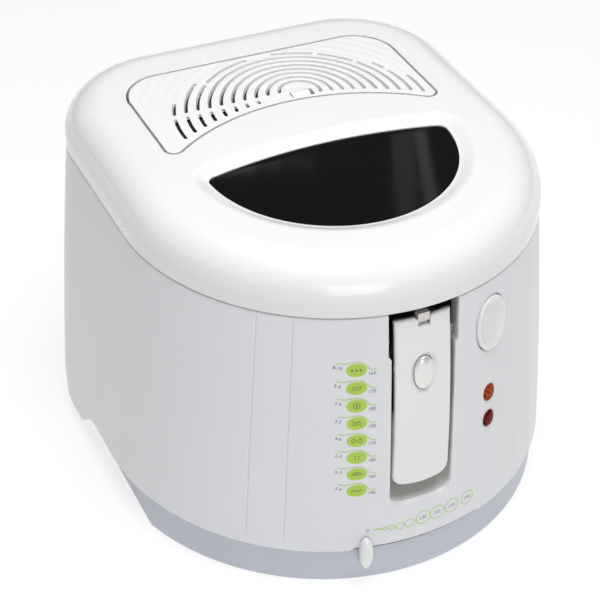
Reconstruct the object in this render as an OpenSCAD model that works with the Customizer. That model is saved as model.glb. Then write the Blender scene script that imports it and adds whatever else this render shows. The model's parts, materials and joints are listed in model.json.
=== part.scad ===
// Household deep fryer with a windowed lid, a lift-off filter cover, a folding
// basket handle and a slider thermostat. Millimetres, +Z up, front towards -Y.
// Origin: middle of the footprint, on the surface that the fryer stands on.

/* [Body] */
// Height of the seam between the body and the lid
rim_z = 198.2; // [180:0.2:230]
// Radius of the round front at the lid seam
rim_r = 134.5; // [125:0.5:145]
// Radius of the round front halfway down
mid_r = 143.6; // [135:0.1:155]
// Radius of the round front at the lower edge
skirt_r = 150.4; // [145:0.1:165]
// Height of the seam between the body and the base
seam_z = 27.4; // [24:0.2:34]
// Height of the rear skirt's lower edge
skirt_z = 10.4; // [6:0.2:16]
// Distance from the front arc's centre back to the rear wall at the top
rear_top = 164.9; // [155:0.1:180]
// How far the rear wall leans in, from its top to its bottom
rear_lean = 7.9; // [0:0.1:14]
// Corner radius of the rear at the top
corner_top = 71; // [50:0.5:85]
// Corner radius of the rear at the bottom
corner_low = 82; // [60:0.5:95]
// Wall of the plastic mouldings
wall = 2.5; // [2:0.1:3.5]
// Running gap between separate mouldings
gap = 0.4; // [0.3:0.05:0.8]

/* [Base] */
// Radius of the base's round front
base_r = 148.2; // [140:0.1:150]
// Half width of the base across its flat sides
base_half_w = 140.7; // [125:0.1:145]
// How far the feet stand out below the base
foot_h = 1.5; // [1:0.5:4]
// Radius of a foot
foot_r = 9; // [6:0.5:14]

/* [Lid] */
// Height of the lid's upright edge
lid_edge_h = 8.6; // [5:0.1:14]
// Width of the rounding from the upright edge to the top
crown_w = 26; // [20:0.5:40]
// Height of that rounding
crown_h = 24; // [18:0.5:32]
// Radius of the window's round front edge
window_r = 82; // [70:0.5:92]
// Depth of the dish around the window
dish_depth = 3; // [1.5:0.1:4]
// Width of the dish around the window
dish_w = 9.5; // [5:0.5:12]
// Thickness of the window glass
glass_t = 3.5; // [3:0.1:5]

/* [Filter cover] */
// Half width of the filter cover
cover_half_w = 94.5; // [80:0.5:98]
// Corner radius of the cover's rear corners
cover_corner = 28; // [10:1:40]
// Pitch of the ring slots
ring_pitch = 7.2; // [6:0.1:9]
// Width of a ring slot
ring_w = 2.6; // [1.5:0.1:3.5]
// Number of ring slots
ring_count = 10; // [5:1:10]

/* [Handle] */
// Half width of the handle
handle_half_w = 19.5; // [16:0.1:20]
// Height of the handle's lower end
handle_low_z = 72; // [70:0.5:100]
// Depth of the handle's face below the body's surface at its upper end
handle_inset = 1.6; // [0.5:0.1:6]
// The same depth at its lower end
handle_low_inset = 0.5; // [0.3:0.1:6]
// Width of the handle's button
btn_w = 14.2; // [12:0.1:17]
// Height of the handle's button
btn_h = 23; // [18:0.5:28]
// Height of the handle's pivot below the lid seam
pivot_drop = 30.2; // [28:0.1:34]
// Distance of the handle's pivot from the front arc's centre
pivot_y = 112; // [108:0.5:114]
// Radius of the handle's pin
pin_r = 2.5; // [2:0.1:3]
// Basket lift of the whole handle swing
basket_lift = 30; // [24:1:34]

/* [Bowl] */
// Inner radius of the oil bowl
bowl_r = 96; // [80:1:98]
// Depth of the bowl's rim below the lid seam
bowl_rim_drop = 30.2; // [28:0.1:38]
// Height of the bowl's floor
bowl_floor_z = 52; // [50:0.5:70]
// Wall of the bowl
bowl_t = 1.5; // [1:0.1:2.5]
// Room between the basket and the bowl's wall
basket_gap = 10; // [6:0.5:20]
// Height of the basket
basket_h = 76; // [50:1:90]

/* [Controls] */
// Angle of the slider at its OFF end, from the front
slider_off = -14; // [-16:0.5:-12]
// Width of the slider's knob
knob_w = 8.5; // [7:0.1:12]
// Angle of the lid button from the front
button_a = 21.2; // [18:0.1:26]
// Height of the lid button's centre
button_z = 168; // [160:0.5:172]
// Width of the lid button
button_w = 26; // [20:0.5:28]
// Height of the lid button
button_h = 37; // [30:0.5:40]
// Angle of the lamps from the front
lamp_a = 19.9; // [16:0.1:24]
// Heights of the two lamps
lamp_zs = [98.6, 118.7]; // [60:0.1:140]
// Radius of a lamp lens
lamp_r = 5.4; // [4:0.1:7]

/* [Hidden] */
$fn = 96;
tiny = 0.02;
big = 500;

// hinge behind the rear wall, then the front arc's centre in the footprint's frame
hinge_r = 5.5;
hinge_back = 6.2;
hinge_pin_r = 2;
hinge_z = rim_z + 6.8;
knob_out = 7;
front_reach = (skirt_r + gap + knob_out) * cos(slider_off) - knob_w / 2 * sin(slider_off);
rear_reach = rear_top + hinge_back + hinge_r;
ay = (front_reach - rear_reach) / 2;
hinge_y = ay + rear_top + hinge_back;
bowl_back = 18;
bowl_y = ay + bowl_back;
bowl_rim_z = rim_z - bowl_rim_drop;
basket_r = bowl_r - basket_gap;
// foremost reach of the bowl's inside, from the front arc's centre
bowl_front = bowl_r - bowl_back;
rear_low = rear_top - rear_lean;
lid_r = rim_r + gap;

// body outline: radius of the round front, rear wall and rear corner at a height
mid_z = (rim_z + seam_z) / 2;
function front_r(z) = z >= mid_z ? mid_r + (rim_r - mid_r) * (z - mid_z) / (rim_z - mid_z)
                    : z >= seam_z ? skirt_r + (mid_r - skirt_r) * (z - seam_z) / (mid_z - seam_z)
                    : skirt_r;
function blend(z, low, high) = low + (high - low) * (z - skirt_z) / (rim_z - skirt_z);
function rear_y(z) = blend(z, rear_low, rear_top);
function corner_r(z) = blend(z, corner_low, corner_top);

module at_arc() { translate([0, ay, 0]) children(); }

// turns children to an angle on the round front, where -Y stays outward
module at_front(a, z = 0) { at_arc() rotate([0, 0, a]) translate([0, 0, z]) children(); }

// a cylinder along the local outward direction, from radius r0 out to r1
module out_rod(r, r0, r1) { translate([0, -r0, 0]) rotate([90, 0, 0]) cylinder(h = r1 - r0, r = r); }

module box(x0, x1, y0, y1, z0, z1) {
    translate([x0, y0, z0]) cube([x1 - x0, y1 - y0, z1 - z0]);
}

// upright oval: two round ends and a straight middle, run from radius r0 out to r1
module out_oval(w, h, r0, r1) {
    for (s = [-1, 1]) translate([0, 0, s * (h - w) / 2]) out_rod(w / 2, r0, r1);
    box(-w / 2, w / 2, -r1, -r0, -(h - w) / 2, (h - w) / 2);
}

// ---- outline shared by the lid, its liner and the collar ----
side_len = rear_top + gap - lid_corner();
function lid_corner() = corner_top + gap;

// closed outline, taken in by an inset
module plan(inset = 0) {
    circle(r = lid_r - inset, $fn = 192);
    for (s = [-1, 1]) translate([s * (lid_r - lid_corner()), side_len]) circle(r = lid_corner() - inset);
    translate([inset - lid_r, 0]) square([2 * (lid_r - inset), side_len]);
    translate([lid_corner() - lid_r, side_len]) square([2 * (lid_r - lid_corner()), lid_corner() - inset]);
}

module plate(z0, z1, inset) { at_arc() translate([0, 0, z0]) linear_extrude(z1 - z0) plan(inset); }

// ---- body outline as a solid: exact round front, hulled rear ----
levels = [skirt_z, seam_z, mid_z, rim_z];

module body_solid(inset, z0, z1) {
    zs = [z0, for (z = levels) if (z > z0 && z < z1) z, z1];
    at_arc() rotate([0, 0, 180]) rotate_extrude(angle = 180, $fn = 192)
        polygon([[0, z0], for (z = zs) [front_r(z) - inset, z], [0, z1]]);
    at_arc() hull() for (z = zs) translate([0, 0, z == z1 ? z - tiny : z]) linear_extrude(tiny) {
        translate([inset - front_r(z), 0]) square([2 * (front_r(z) - inset), 30]);
        for (s = [-1, 1])
            translate([s * (front_r(z) - corner_r(z)), rear_y(z) - corner_r(z)]) circle(r = corner_r(z) - inset);
    }
}

// the handle's recess: a pocket in the front wall, deeper behind the handle's top
pocket_half_w = handle_half_w + 1.9;
pocket_low_z = handle_low_z - 14;
pocket_back = pivot_y + 10;
notch_half_w = handle_half_w + 3.8;
notch_low_z = rim_z - 31;
deep_low_z = rim_z - 78;
arm_front = pivot_y + basket_lift / 2 + 2.6;
arm_low_z = rim_z - pivot_drop - basket_lift / 2 - 3.5;
deep_back = pivot_y - 14;
pocket_round = 10;

module pocket(grow, out_y) {
    difference() {
        box(-pocket_half_w - grow, pocket_half_w + grow, -out_y, grow - pocket_back,
            pocket_low_z - grow, rim_z + 1);
        for (s = [-1, 1]) translate([s * (pocket_half_w + grow), 0, pocket_low_z - grow]) difference() {
            box(-pocket_round, pocket_round, -big, big, -1, pocket_round);
            translate([-s * pocket_round, 0, pocket_round]) rotate([90, 0, 0])
                cylinder(h = 3 * big, r = pocket_round, center = true);
            box(-s * pocket_round - big, -s * pocket_round, -big, big, -2, pocket_round);
        }
    }
    box(-notch_half_w - grow, notch_half_w + grow, -out_y, grow - deep_back, notch_low_z - grow, rim_z + 1);
    box(-pocket_half_w - grow, pocket_half_w + grow, -out_y, grow - deep_back, deep_low_z - grow, rim_z + 1);
    // the lift arms hang behind the front wall, beside the handle
    box(-notch_half_w - grow, notch_half_w + grow, -arm_front - grow - 1, grow - deep_back,
        arm_low_z - grow - 1, rim_z + 1);
}

// lower edge of the wall: up at the base in front, down at the rear skirt, with a round step
step_y = 40;
step_r = (seam_z - skirt_z) / 2;
module front_undercut() {
    at_arc() rotate([90, 0, 90]) translate([0, 0, -big / 2]) linear_extrude(big) difference() {
        translate([-big, -1]) square([big + step_y + 2 * step_r, seam_z + 1]);
        translate([step_y + 2 * step_r, -1]) square([2, seam_z + 2]);
        difference() {
            translate([step_y + step_r, -2]) square([step_r + 1, skirt_z + step_r + 2]);
            translate([step_y, skirt_z + step_r]) circle(r = step_r);
        }
        translate([step_y + 2 * step_r, seam_z - step_r]) circle(r = step_r);
        translate([step_y + step_r, skirt_z]) square([big, seam_z]);
    }
}

slot_z1 = seam_z + 3.6;
slot_half_a = 18;
groove_as = [33.6, 42.9];
groove_w = 1.4;
groove_depth = 0.8;

module body_shell() {
    color("gainsboro") difference() {
        union() {
            difference() {
                body_solid(0, skirt_z, rim_z);
                body_solid(wall, skirt_z - 1, rim_z + 1);
            }
            intersection() {
                body_solid(wall / 2, seam_z + 8, rim_z);
                at_arc() pocket(wall, big / 2);
            }
            // clips for the collar's screws
            for (a = collar_screw_as) at_front(a)
                box(-7, 7, wall / 2 - front_r(collar_z), 5 - collar_screw_r, collar_z - 6, collar_z);
        }
        front_undercut();
        at_arc() pocket(0, big / 2);
        // slot that the slider's arm runs in
        at_arc() rotate([0, 0, -90 - slot_half_a]) rotate_extrude(angle = 2 * slot_half_a)
            translate([skirt_r - 8, seam_z - 1]) square([12, slot_z1 - seam_z + 1]);
        at_front(button_a, button_z) out_oval(button_w + 2 * gap, button_h + 2 * gap, mid_r - 20, mid_r + 9);
        for (z = lamp_zs) at_front(lamp_a, z) out_rod(lamp_r, mid_r - 20, mid_r + 9);
        // two pairs of upright grooves
        for (a = groove_as, s = [-1, 1]) at_front(s * a) groove();
        for (a = collar_screw_as) at_front(a) translate([0, -collar_screw_r, 0]) cylinder(h = rim_z, r = 1.25);
        // way through for the lift arms, over the bowl's rim
        at_arc() box(-notch_half_w, notch_half_w, -deep_back - 1, -bowl_front - 10, bowl_rim_z, rim_z + 1);
        translate([gland_x, 0, gland_z]) rotate([-90, 0, 0]) cylinder(h = big, r = gland_r);
        // seat of the hinge bracket on the rear wall
        for (x = hinge_screw_xs) translate([x, 0, hinge_screw_z]) rotate([-90, 0, 0]) cylinder(h = big, r = 2);
    }
}

module groove() {
    zs = [seam_z + 8, mid_z, rim_z - 4];
    rotate([90, 0, 90]) translate([0, 0, -groove_w / 2]) linear_extrude(groove_w)
        polygon([for (z = zs) [groove_depth - front_r(z), z], for (i = [2, 1, 0]) [-front_r(zs[i]) - 5, zs[i]]]);
}

// ---- base pan: floor, round wall and the pillars that carry the inside ----
base_floor = 3;
base_back = rear_low - wall - 8;
base_corner = corner_low - 14;
pillar_r = 5;
shield_z = 38.5;
shield_pillars = [for (a = [90, 210, 330]) [82 * cos(a), bowl_back + 82 * sin(a)]];
thermo_posts = [for (s = [-1, 1]) [s * 12, 9]];
shell_screws = [[-118, 60], [118, 60], [-60, 128], [60, 128], [-104, -66], [104, -66]];

module base_plan(inset) {
    intersection() {
        circle(r = base_r - inset, $fn = 192);
        translate([inset - base_half_w, -big]) square([2 * (base_half_w - inset), big]);
    }
    translate([inset - base_half_w, -40]) square([2 * (base_half_w - inset), 40 + base_back - base_corner]);
    for (s = [-1, 1])
        translate([s * (base_half_w - base_corner), base_back - base_corner]) circle(r = base_corner - inset);
    translate([base_corner - base_half_w, base_back - base_corner])
        square([2 * (base_half_w - base_corner), base_corner - inset]);
}

module base_pan() {
    color("lightsteelblue") at_arc() difference() {
        union() {
            difference() {
                translate([0, 0, foot_h]) linear_extrude(seam_z - gap - foot_h) base_plan(0);
                translate([0, 0, foot_h + base_floor]) linear_extrude(seam_z) base_plan(wall);
            }
            for (p = shield_pillars) translate([p[0], p[1], foot_h]) cylinder(h = shield_z - foot_h, r = pillar_r);
            for (p = thermo_posts) translate([p[0], p[1], foot_h]) cylinder(h = thermo_z - foot_h, r = 4);
            for (p = shell_screws) translate([p[0], p[1], foot_h]) cylinder(h = 16, r = 5);
            // bearing of the thermostat's spindle
            translate([0, 0, foot_h]) cylinder(h = spindle_low_z + 4 - foot_h, r = 7);
        }
        for (p = shell_screws) translate([p[0], p[1], -1]) cylinder(h = 30, r = 1.6);
        for (p = shield_pillars) translate([p[0], p[1], shield_z - 14]) cylinder(h = 20, r = 1.5);
        translate([0, 0, spindle_low_z]) cylinder(h = 10, r = spindle_r + 0.06);
        for (i = [-3:3]) translate([i * 12 - 2, 60, -1]) cube([4, 40, 12]);
        for (p = foot_at) translate([p[0], p[1], -1]) cylinder(h = foot_h + 2.2, r = foot_r);
    }
}

foot_at = [for (x = [-1, 1], y = [-1, 1]) [x * 92, y == 1 ? 118 : -88]];

module rubber_feet() {
    color("dimgray") at_arc() for (p = foot_at) translate([p[0], p[1], 0]) cylinder(h = foot_h + 1.2, r = foot_r);
}

module base_screws() {
    color("silver") at_arc() for (p = shell_screws) translate([p[0], p[1], foot_h - 0.8]) {
        cylinder(h = 0.8, r = 3.4);
        cylinder(h = 14, r = 1.6);
    }
}

// ---- collar: closes the gap between the body's rim and the oil bowl ----
collar_t = 2.5;
collar_z = bowl_rim_z - collar_t;
collar_screw_as = [-75, -45, 55, 75];
collar_screw_r = rim_r - 10.2;
collar_inset = wall + 2.4;
collar_wall = 2.2;
shelf_r = bowl_r + bowl_t + 1;

module collar_cut() {
    at_arc() box(-notch_half_w - wall - gap, notch_half_w + wall + gap, -big, -bowl_front - 8, 0, big);
}

module top_collar() {
    color("whitesmoke") difference() {
        plate(collar_z, rim_z - 2, collar_inset);
        plate(collar_z + collar_t, rim_z, collar_inset + collar_wall);
        translate([0, bowl_y, 0]) cylinder(h = big, r = shelf_r);
        collar_cut();
        at_front(button_a) box(-22, 18, -big, -108, 0, big);
        for (a = collar_screw_as) at_front(a) translate([0, -collar_screw_r, 0]) cylinder(h = big, r = 1.6);
    }
}

module collar_screws() {
    color("silver") for (a = collar_screw_as) at_front(a) translate([0, -collar_screw_r, 0]) {
        translate([0, 0, collar_z + collar_t]) cylinder(h = 2, r = 3);
        translate([0, 0, collar_z - 5]) cylinder(h = collar_t + 5, r = 1.25);
    }
}

// ---- oil bowl, heater and what senses its heat ----
module oil_bowl() {
    color("dimgray") translate([0, bowl_y, 0]) rotate_extrude($fn = 128) union() {
        translate([0, bowl_floor_z - bowl_t]) square([bowl_r - 8, bowl_t]);
        difference() {
            translate([bowl_r - 8, bowl_floor_z + 8]) circle(r = 8 + bowl_t);
            translate([bowl_r - 8, bowl_floor_z + 8]) circle(r = 8);
            translate([0, bowl_floor_z + 8]) square([bowl_r * 2, 30]);
            translate([0, bowl_floor_z - 20]) square([bowl_r - 8, 60]);
        }
        translate([bowl_r, bowl_floor_z + 8]) square([bowl_t, bowl_rim_z - bowl_floor_z - 8 + bowl_t]);
        translate([bowl_r, bowl_rim_z]) square([shelf_r - bowl_r + 6, bowl_t]);
    }
}

ring_r = 70;
ring_half = 7;
ring_t = 5;
module heating_ring() {
    low = bowl_floor_z - bowl_t - ring_t;
    color("darkgray") translate([0, bowl_y, 0]) {
        rotate([0, 0, 100]) rotate_extrude(angle = 340)
            translate([ring_r - ring_half, low]) square([2 * ring_half, ring_t]);
        for (a = [105, 75]) rotate([0, 0, a]) translate([ring_r, 0, low - 4]) cylinder(h = 5, r = 2.2);
    }
}

shield_r = 106;
shield_t = 0.8;
module heat_shield() {
    color("silver") difference() {
        translate([0, bowl_y, 0]) rotate_extrude() {
            translate([0, shield_z]) square([shield_r, shield_t]);
            translate([shield_r - shield_t, shield_z]) square([shield_t, 26]);
        }
        at_arc() cylinder(h = big, r = 27);
        at_arc() for (p = shield_pillars) translate([p[0], p[1], 0]) cylinder(h = big, r = 1.6);
    }
}

thermo_z = 33;
thermo_w = 34;
thermo_d = 28;
spindle_r = 3;
spindle_low_z = foot_h + base_floor + 5;
arm_z = seam_z + 0.8;
arm_t = 2.2;
module thermostat() {
    color("ivory") at_arc() difference() {
        box(-thermo_w / 2, thermo_w / 2, -thermo_d / 2, thermo_d / 2, thermo_z, bowl_floor_z - bowl_t);
        translate([0, 0, -1]) cylinder(h = thermo_z + 10, r = spindle_r + 0.06);
    }
}

cutout_at = [38, 40];
module thermal_cutout() {
    color("tan") at_arc() translate([cutout_at[0], cutout_at[1], bowl_floor_z - bowl_t - 7]) {
        cylinder(h = 7, r = 8);
        for (s = [-1, 1]) box(s * 10 - 3, s * 10 + 3, -2, 2, 2, 3);
    }
}

gland_x = 60;
gland_z = skirt_z + 13;
gland_r = 6;
gland_y = ay + rear_low;
module cord_gland() {
    color("black") translate([gland_x, gland_y, gland_z]) rotate([-90, 0, 0]) difference() {
        union() {
            translate([0, 0, -8]) cylinder(h = 12, r = gland_r - 0.2);
            translate([0, 0, 1.2]) cylinder(h = 3, r = gland_r + 2.5);
        }
        translate([0, 0, -20]) cylinder(h = 40, r = 3.4);
    }
}

module terminal_block() {
    color("ivory") at_arc() difference() {
        box(24, 52, 116, 128, foot_h + base_floor, foot_h + base_floor + 14);
        for (i = [0:2]) translate([29 + 9 * i, 122, foot_h + base_floor + 4]) cylinder(h = 20, r = 2);
    }
}

// ---- lamps ----
module lamp_lens(z) {
    flange = front_r(z) - wall - 0.8;
    at_front(lamp_a, z) {
        out_rod(lamp_r - 0.15, flange, front_r(z) + 1.4);
        out_rod(lamp_r + 1.6, flange - 1.6, flange);
    }
}
module lamp_lens_red() { color("darkred") lamp_lens(lamp_zs[0]); }
module lamp_lens_orange() { color("darkorange") lamp_lens(lamp_zs[1]); }

holder_r = front_r(max(lamp_zs)) - wall - 4.4;
module lamp_holder() {
    low = min(lamp_zs) - 10;
    high = max(lamp_zs) + 10;
    color("ivory") at_front(lamp_a) difference() {
        box(-9, 9, -holder_r, -holder_r + 3, low, high);
        for (z = lamp_zs) translate([0, 0, z]) out_rod(2.6, holder_r - 10, holder_r + 10);
    }
}
module neon_bulbs() {
    color("white") for (z = lamp_zs) at_front(lamp_a, z)
        out_rod(2.5, holder_r - 14, front_r(z) - wall - 2.7);
}

// ---- lid release button, its latch hook and its housing ----
pad_out = front_r(button_z) + 1.6;
stem_r = 5;
plate_in = 112;
housing_r = 125;
module release_button() {
    color("white") at_front(button_a, button_z) {
        out_oval(button_w, button_h, pad_out - 7, pad_out);
        out_rod(stem_r, plate_in + 3, pad_out - 6);
    }
}
hook_w = 14;
nose_z = rim_z - 12;
catch_r = 122;
module latch_hook() {
    color("gray") at_front(button_a) {
        box(-hook_w / 2, hook_w / 2, -plate_in - 3, -plate_in, button_z - 6, nose_z + 3);
        box(-hook_w / 2, hook_w / 2, 3.6 - catch_r, -plate_in - 3, nose_z, nose_z + 3);
    }
}
module lid_catch() {
    color("whitesmoke") at_front(button_a) {
        box(-hook_w / 2, hook_w / 2, -catch_r - 2.4, -catch_r, nose_z - 3.4, liner_z);
        box(-hook_w / 2, hook_w / 2, -catch_r, 3.2 - catch_r, nose_z - 3.4, nose_z - 0.4);
    }
}
module button_housing() {
    color("ivory") at_front(button_a) difference() {
        box(-16, 16, -housing_r - 2, -housing_r + 1, button_z - 22, button_z + 8);
        translate([0, 0, button_z]) out_rod(stem_r + 0.06, housing_r - 20, housing_r + 20);
    }
    color("ivory") at_front(button_a) for (s = [-1, 1])
        box(s * 15 - 1, s * 15 + 1, 1.4 + wall - front_r(button_z - 18), -housing_r - 1,
            button_z - 22, button_z - 18);
}

// coil spring along +Z from 0 to a length, as one swept tube
module coil(r, wire, length, turns) {
    steps = 14;
    sides = 6;
    n = turns * steps;
    function ring(i) = let (a = 360 * i / steps, z = wire + (length - 2 * wire) * i / n)
        [for (k = [0:sides - 1]) let (b = 360 * k / sides, q = r + wire * cos(b))
            [q * cos(a), q * sin(a), z + wire * sin(b)]];
    pts = [for (i = [0:n]) each ring(i)];
    walls = [for (i = [0:n - 1], k = [0:sides - 1]) let (k2 = (k + 1) % sides)
        [i * sides + k, i * sides + k2, (i + 1) * sides + k2, (i + 1) * sides + k]];
    polyhedron(pts, concat([[for (k = [0:sides - 1]) sides - 1 - k]], walls,
        [[for (k = [0:sides - 1]) n * sides + k]]), convexity = 8);
}

module button_spring() {
    gap_len = pad_out - 7 - (housing_r + 2);
    color("silver") at_front(button_a, button_z) translate([0, -housing_r - 2.1, 0]) rotate([90, 0, 0])
        coil(stem_r + 2, 0.5, gap_len - 0.2, 3);
}

// ---- lid ----
edge_top = rim_z + lid_edge_h;
lid_top = edge_top + crown_h;
lid_low = rim_z + 0.6;
liner_z = rim_z + 15;
liner_t = 2;

// half section of the lid, out to radius r, taken in by an inset
function lid_section(r, inset, low) = [
    [0, low], [r - inset, low], [r - inset, edge_top],
    for (a = [7.5:7.5:90]) [r - crown_w + (crown_w - inset) * cos(a), edge_top + (crown_h - inset) * sin(a)],
    [0, lid_top - inset]
];
function lid_cross(r, inset, low) = let (p = lid_section(r, inset, low), n = len(p))
    concat([for (i = [1:n - 2]) p[i]], [for (i = [n - 2:-1:1]) [-p[i][0], p[i][1]]]);

module crown(inset, low) {
    r = lid_r;
    c = lid_corner();
    at_arc() {
        rotate([0, 0, 180]) rotate_extrude(angle = 180, $fn = 192) polygon(lid_section(r, inset, low));
        translate([0, side_len, 0]) rotate([90, 0, 0]) linear_extrude(side_len)
            polygon(lid_cross(r, inset, low));
        for (s = [0, 1]) translate([(1 - 2 * s) * (r - c), side_len, 0]) rotate([0, 0, 90 * s])
            rotate_extrude(angle = 90) polygon(lid_section(c, inset, low));
        translate([c - r, side_len, 0]) rotate([90, 0, 90]) linear_extrude(2 * (r - c))
            polygon(lid_section(c, inset, low));
    }
}

// window outline: a round front edge and a shallow rear edge with rounded ends
window_y = -1.5;
window_rear_r = 325;
window_rear_y = 8.5 - window_rear_r;
window_round = 7;
function meet_y(r1, y1, r2, y2) = (r1 * r1 - r2 * r2 + y2 * y2 - y1 * y1) / (2 * (y2 - y1));
end_y = meet_y(window_r - window_round, window_y, window_rear_r - window_round, window_rear_y);
end_x = sqrt(pow(window_r - window_round, 2) - pow(end_y - window_y, 2));
front_end_a = atan2(end_y - window_y, end_x);
rear_end_a = atan2(end_y - window_rear_y, end_x);
function arc(x, y, r, a0, a1, n) =
    [for (i = [0:n - 1]) let (a = a0 + (a1 - a0) * i / n) [x + r * cos(a), y + r * sin(a)]];

module window_plan(grow = 0) {
    polygon(concat(
        arc(0, window_y, window_r + grow, 180 - front_end_a, 360 + front_end_a, 72),
        arc(end_x, end_y, window_round + grow, front_end_a, rear_end_a, 8),
        arc(0, window_rear_y, window_rear_r + grow, rear_end_a, 180 - rear_end_a, 24),
        arc(-end_x, end_y, window_round + grow, 180 - rear_end_a, 180 - front_end_a, 8)));
}

// filter cover outline: straight sides, rounded rear corners, front edge hollowed by a large arc
cover_rear = 120.3;
cover_apex = 56.5;
cover_front = 20;
cover_sag = cover_apex - cover_front;
cover_arc_r = (cover_half_w * cover_half_w + cover_sag * cover_sag) / (2 * cover_sag);
cover_arc_y = cover_apex - cover_arc_r;
cover_round = 6;
cover_round_y = cover_arc_y + sqrt(pow(cover_arc_r + cover_round, 2) - pow(cover_half_w - cover_round, 2));
module cover_plan(grow = 0) {
    w = cover_half_w + grow;
    mid_y = cover_rear - cover_corner;
    q = cover_arc_r / (cover_arc_r + cover_round);
    x_in = (cover_half_w - cover_round) * q;
    y_in = cover_arc_y + (cover_round_y - cover_arc_y) * q;
    difference() {
        union() {
            translate([-w, cover_round_y]) square([2 * w, mid_y - cover_round_y]);
            translate([-x_in, y_in - grow]) square([2 * x_in, cover_round_y - y_in + 2 * grow]);
            translate([cover_corner - cover_half_w, cover_round_y])
                square([2 * (cover_half_w - cover_corner), cover_rear + grow - cover_round_y]);
        }
        translate([0, cover_arc_y]) circle(r = cover_arc_r - grow, $fn = 360);
    }
    for (s = [-1, 1]) {
        translate([s * (cover_half_w - cover_corner), mid_y]) circle(r = cover_corner + grow);
        translate([s * (cover_half_w - cover_round), cover_round_y]) circle(r = cover_round + grow);
    }
}

ledge_w = 3;
ledge_z = liner_z + liner_t + 3;
boss_at = [[-116, 20], [116, 20], [-108, 95], [108, 95], [-60, 142], [60, 142], [-50, -108], [60, -104]];
module lid_shell() {
    color("white") difference() {
        union() {
            difference() {
                crown(0, lid_low);
                crown(wall, lid_low - 1);
            }
            intersection() {
                crown(wall / 2, liner_z + liner_t);
                at_arc() translate([0, 0, liner_z + liner_t]) linear_extrude(big) difference() {
                    cover_plan(gap + wall);
                    cover_plan(gap);
                }
            }
            at_arc() translate([0, 0, ledge_z - 2]) linear_extrude(2) difference() {
                cover_plan(gap + wall / 2);
                cover_plan(-ledge_w);
            }
            intersection() {
                crown(wall / 2, lid_low);
                union() {
                    at_arc() for (p = boss_at) translate([p[0], p[1], liner_z + liner_t]) cylinder(h = big, r = 4);
                    // floor of the dish around the window
                    at_arc() translate([0, 0, lid_top - dish_depth - wall]) linear_extrude(wall + 1)
                        window_plan(dish_w + 2);
                }
            }
        }
        at_arc() translate([0, 0, lid_top - dish_depth]) linear_extrude(big) window_plan(dish_w);
        at_arc() translate([0, 0, liner_z]) linear_extrude(big) window_plan(0);
        at_arc() translate([0, 0, ledge_z]) linear_extrude(big) cover_plan(gap);
        at_arc() for (p = boss_at) translate([p[0], p[1], 0]) cylinder(h = liner_z + 9, r = 1.3);
        at_arc() for (x = leaf_xs) translate([x + leaf_w / 2, big / 2, leaf_z0 + 4]) rotate([90, 0, 0])
            cylinder(h = big / 2, r = 1.3);
    }
}

vent_count = 7;
module lid_liner() {
    color("whitesmoke") difference() {
        union() {
            plate(liner_z, liner_z + liner_t, 7);
            translate([0, bowl_y, liner_z - skirt_drop]) cylinder(h = skirt_drop + 1, r = shelf_r + 12);
        }
        translate([0, bowl_y, liner_z - skirt_drop - 1]) cylinder(h = skirt_drop + 1, r = shelf_r + 9.5);
        // the skirt is open in front, where the basket's lift arms cross
        at_arc() box(-skirt_gap_w, skirt_gap_w, -big, -bowl_front - 2, liner_z - 50, liner_z);
        at_arc() translate([0, 0, liner_z - 1]) linear_extrude(9) window_plan(0);
        // vents under the filters
        at_arc() for (i = [0:vent_count - 1]) translate([(i - (vent_count - 1) / 2) * 22, 84, liner_z - 1])
            cylinder(h = 9, r = 7);
        at_arc() for (p = boss_at) translate([p[0], p[1], 0]) cylinder(h = big, r = 1.6);
    }
}
skirt_drop = liner_z - bowl_rim_z - bowl_t - 4;
skirt_gap_w = 40;

module lid_gasket() {
    z = bowl_rim_z + bowl_t + 0.3;
    color("darkgray") translate([0, bowl_y, 0]) rotate([0, 0, -65]) rotate_extrude(angle = 310)
        translate([shelf_r + 8.5, z]) square([4.5, liner_z - skirt_drop - z]);
}

module liner_screws() {
    color("silver") at_arc() for (p = boss_at) translate([p[0], p[1], liner_z - 1.6]) {
        cylinder(h = 1.6, r = 3);
        cylinder(h = 9, r = 1.3);
    }
}

glass_top = lid_top - dish_depth - wall;
module window_glass() {
    color([0.05, 0.05, 0.05]) at_arc() translate([0, 0, glass_top - glass_t]) linear_extrude(glass_t)
        window_plan(4);
}
module window_seal() {
    color("dimgray") at_arc() translate([0, 0, liner_z + liner_t])
        linear_extrude(glass_top - glass_t - liner_z - liner_t) difference() {
            window_plan(3.5);
            window_plan(0.5);
        }
}

module grease_filter() {
    color("silver") at_arc() translate([0, 0, liner_z + liner_t]) linear_extrude(2) cover_plan(-ledge_w - 1.5);
}
pad_z = liner_z + liner_t + 2;
module carbon_filter() {
    color([0.15, 0.15, 0.15]) at_arc() translate([0, 0, pad_z]) linear_extrude(lid_top - wall - 1.5 - pad_z)
        cover_plan(-ledge_w - 1.5);
}

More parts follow.
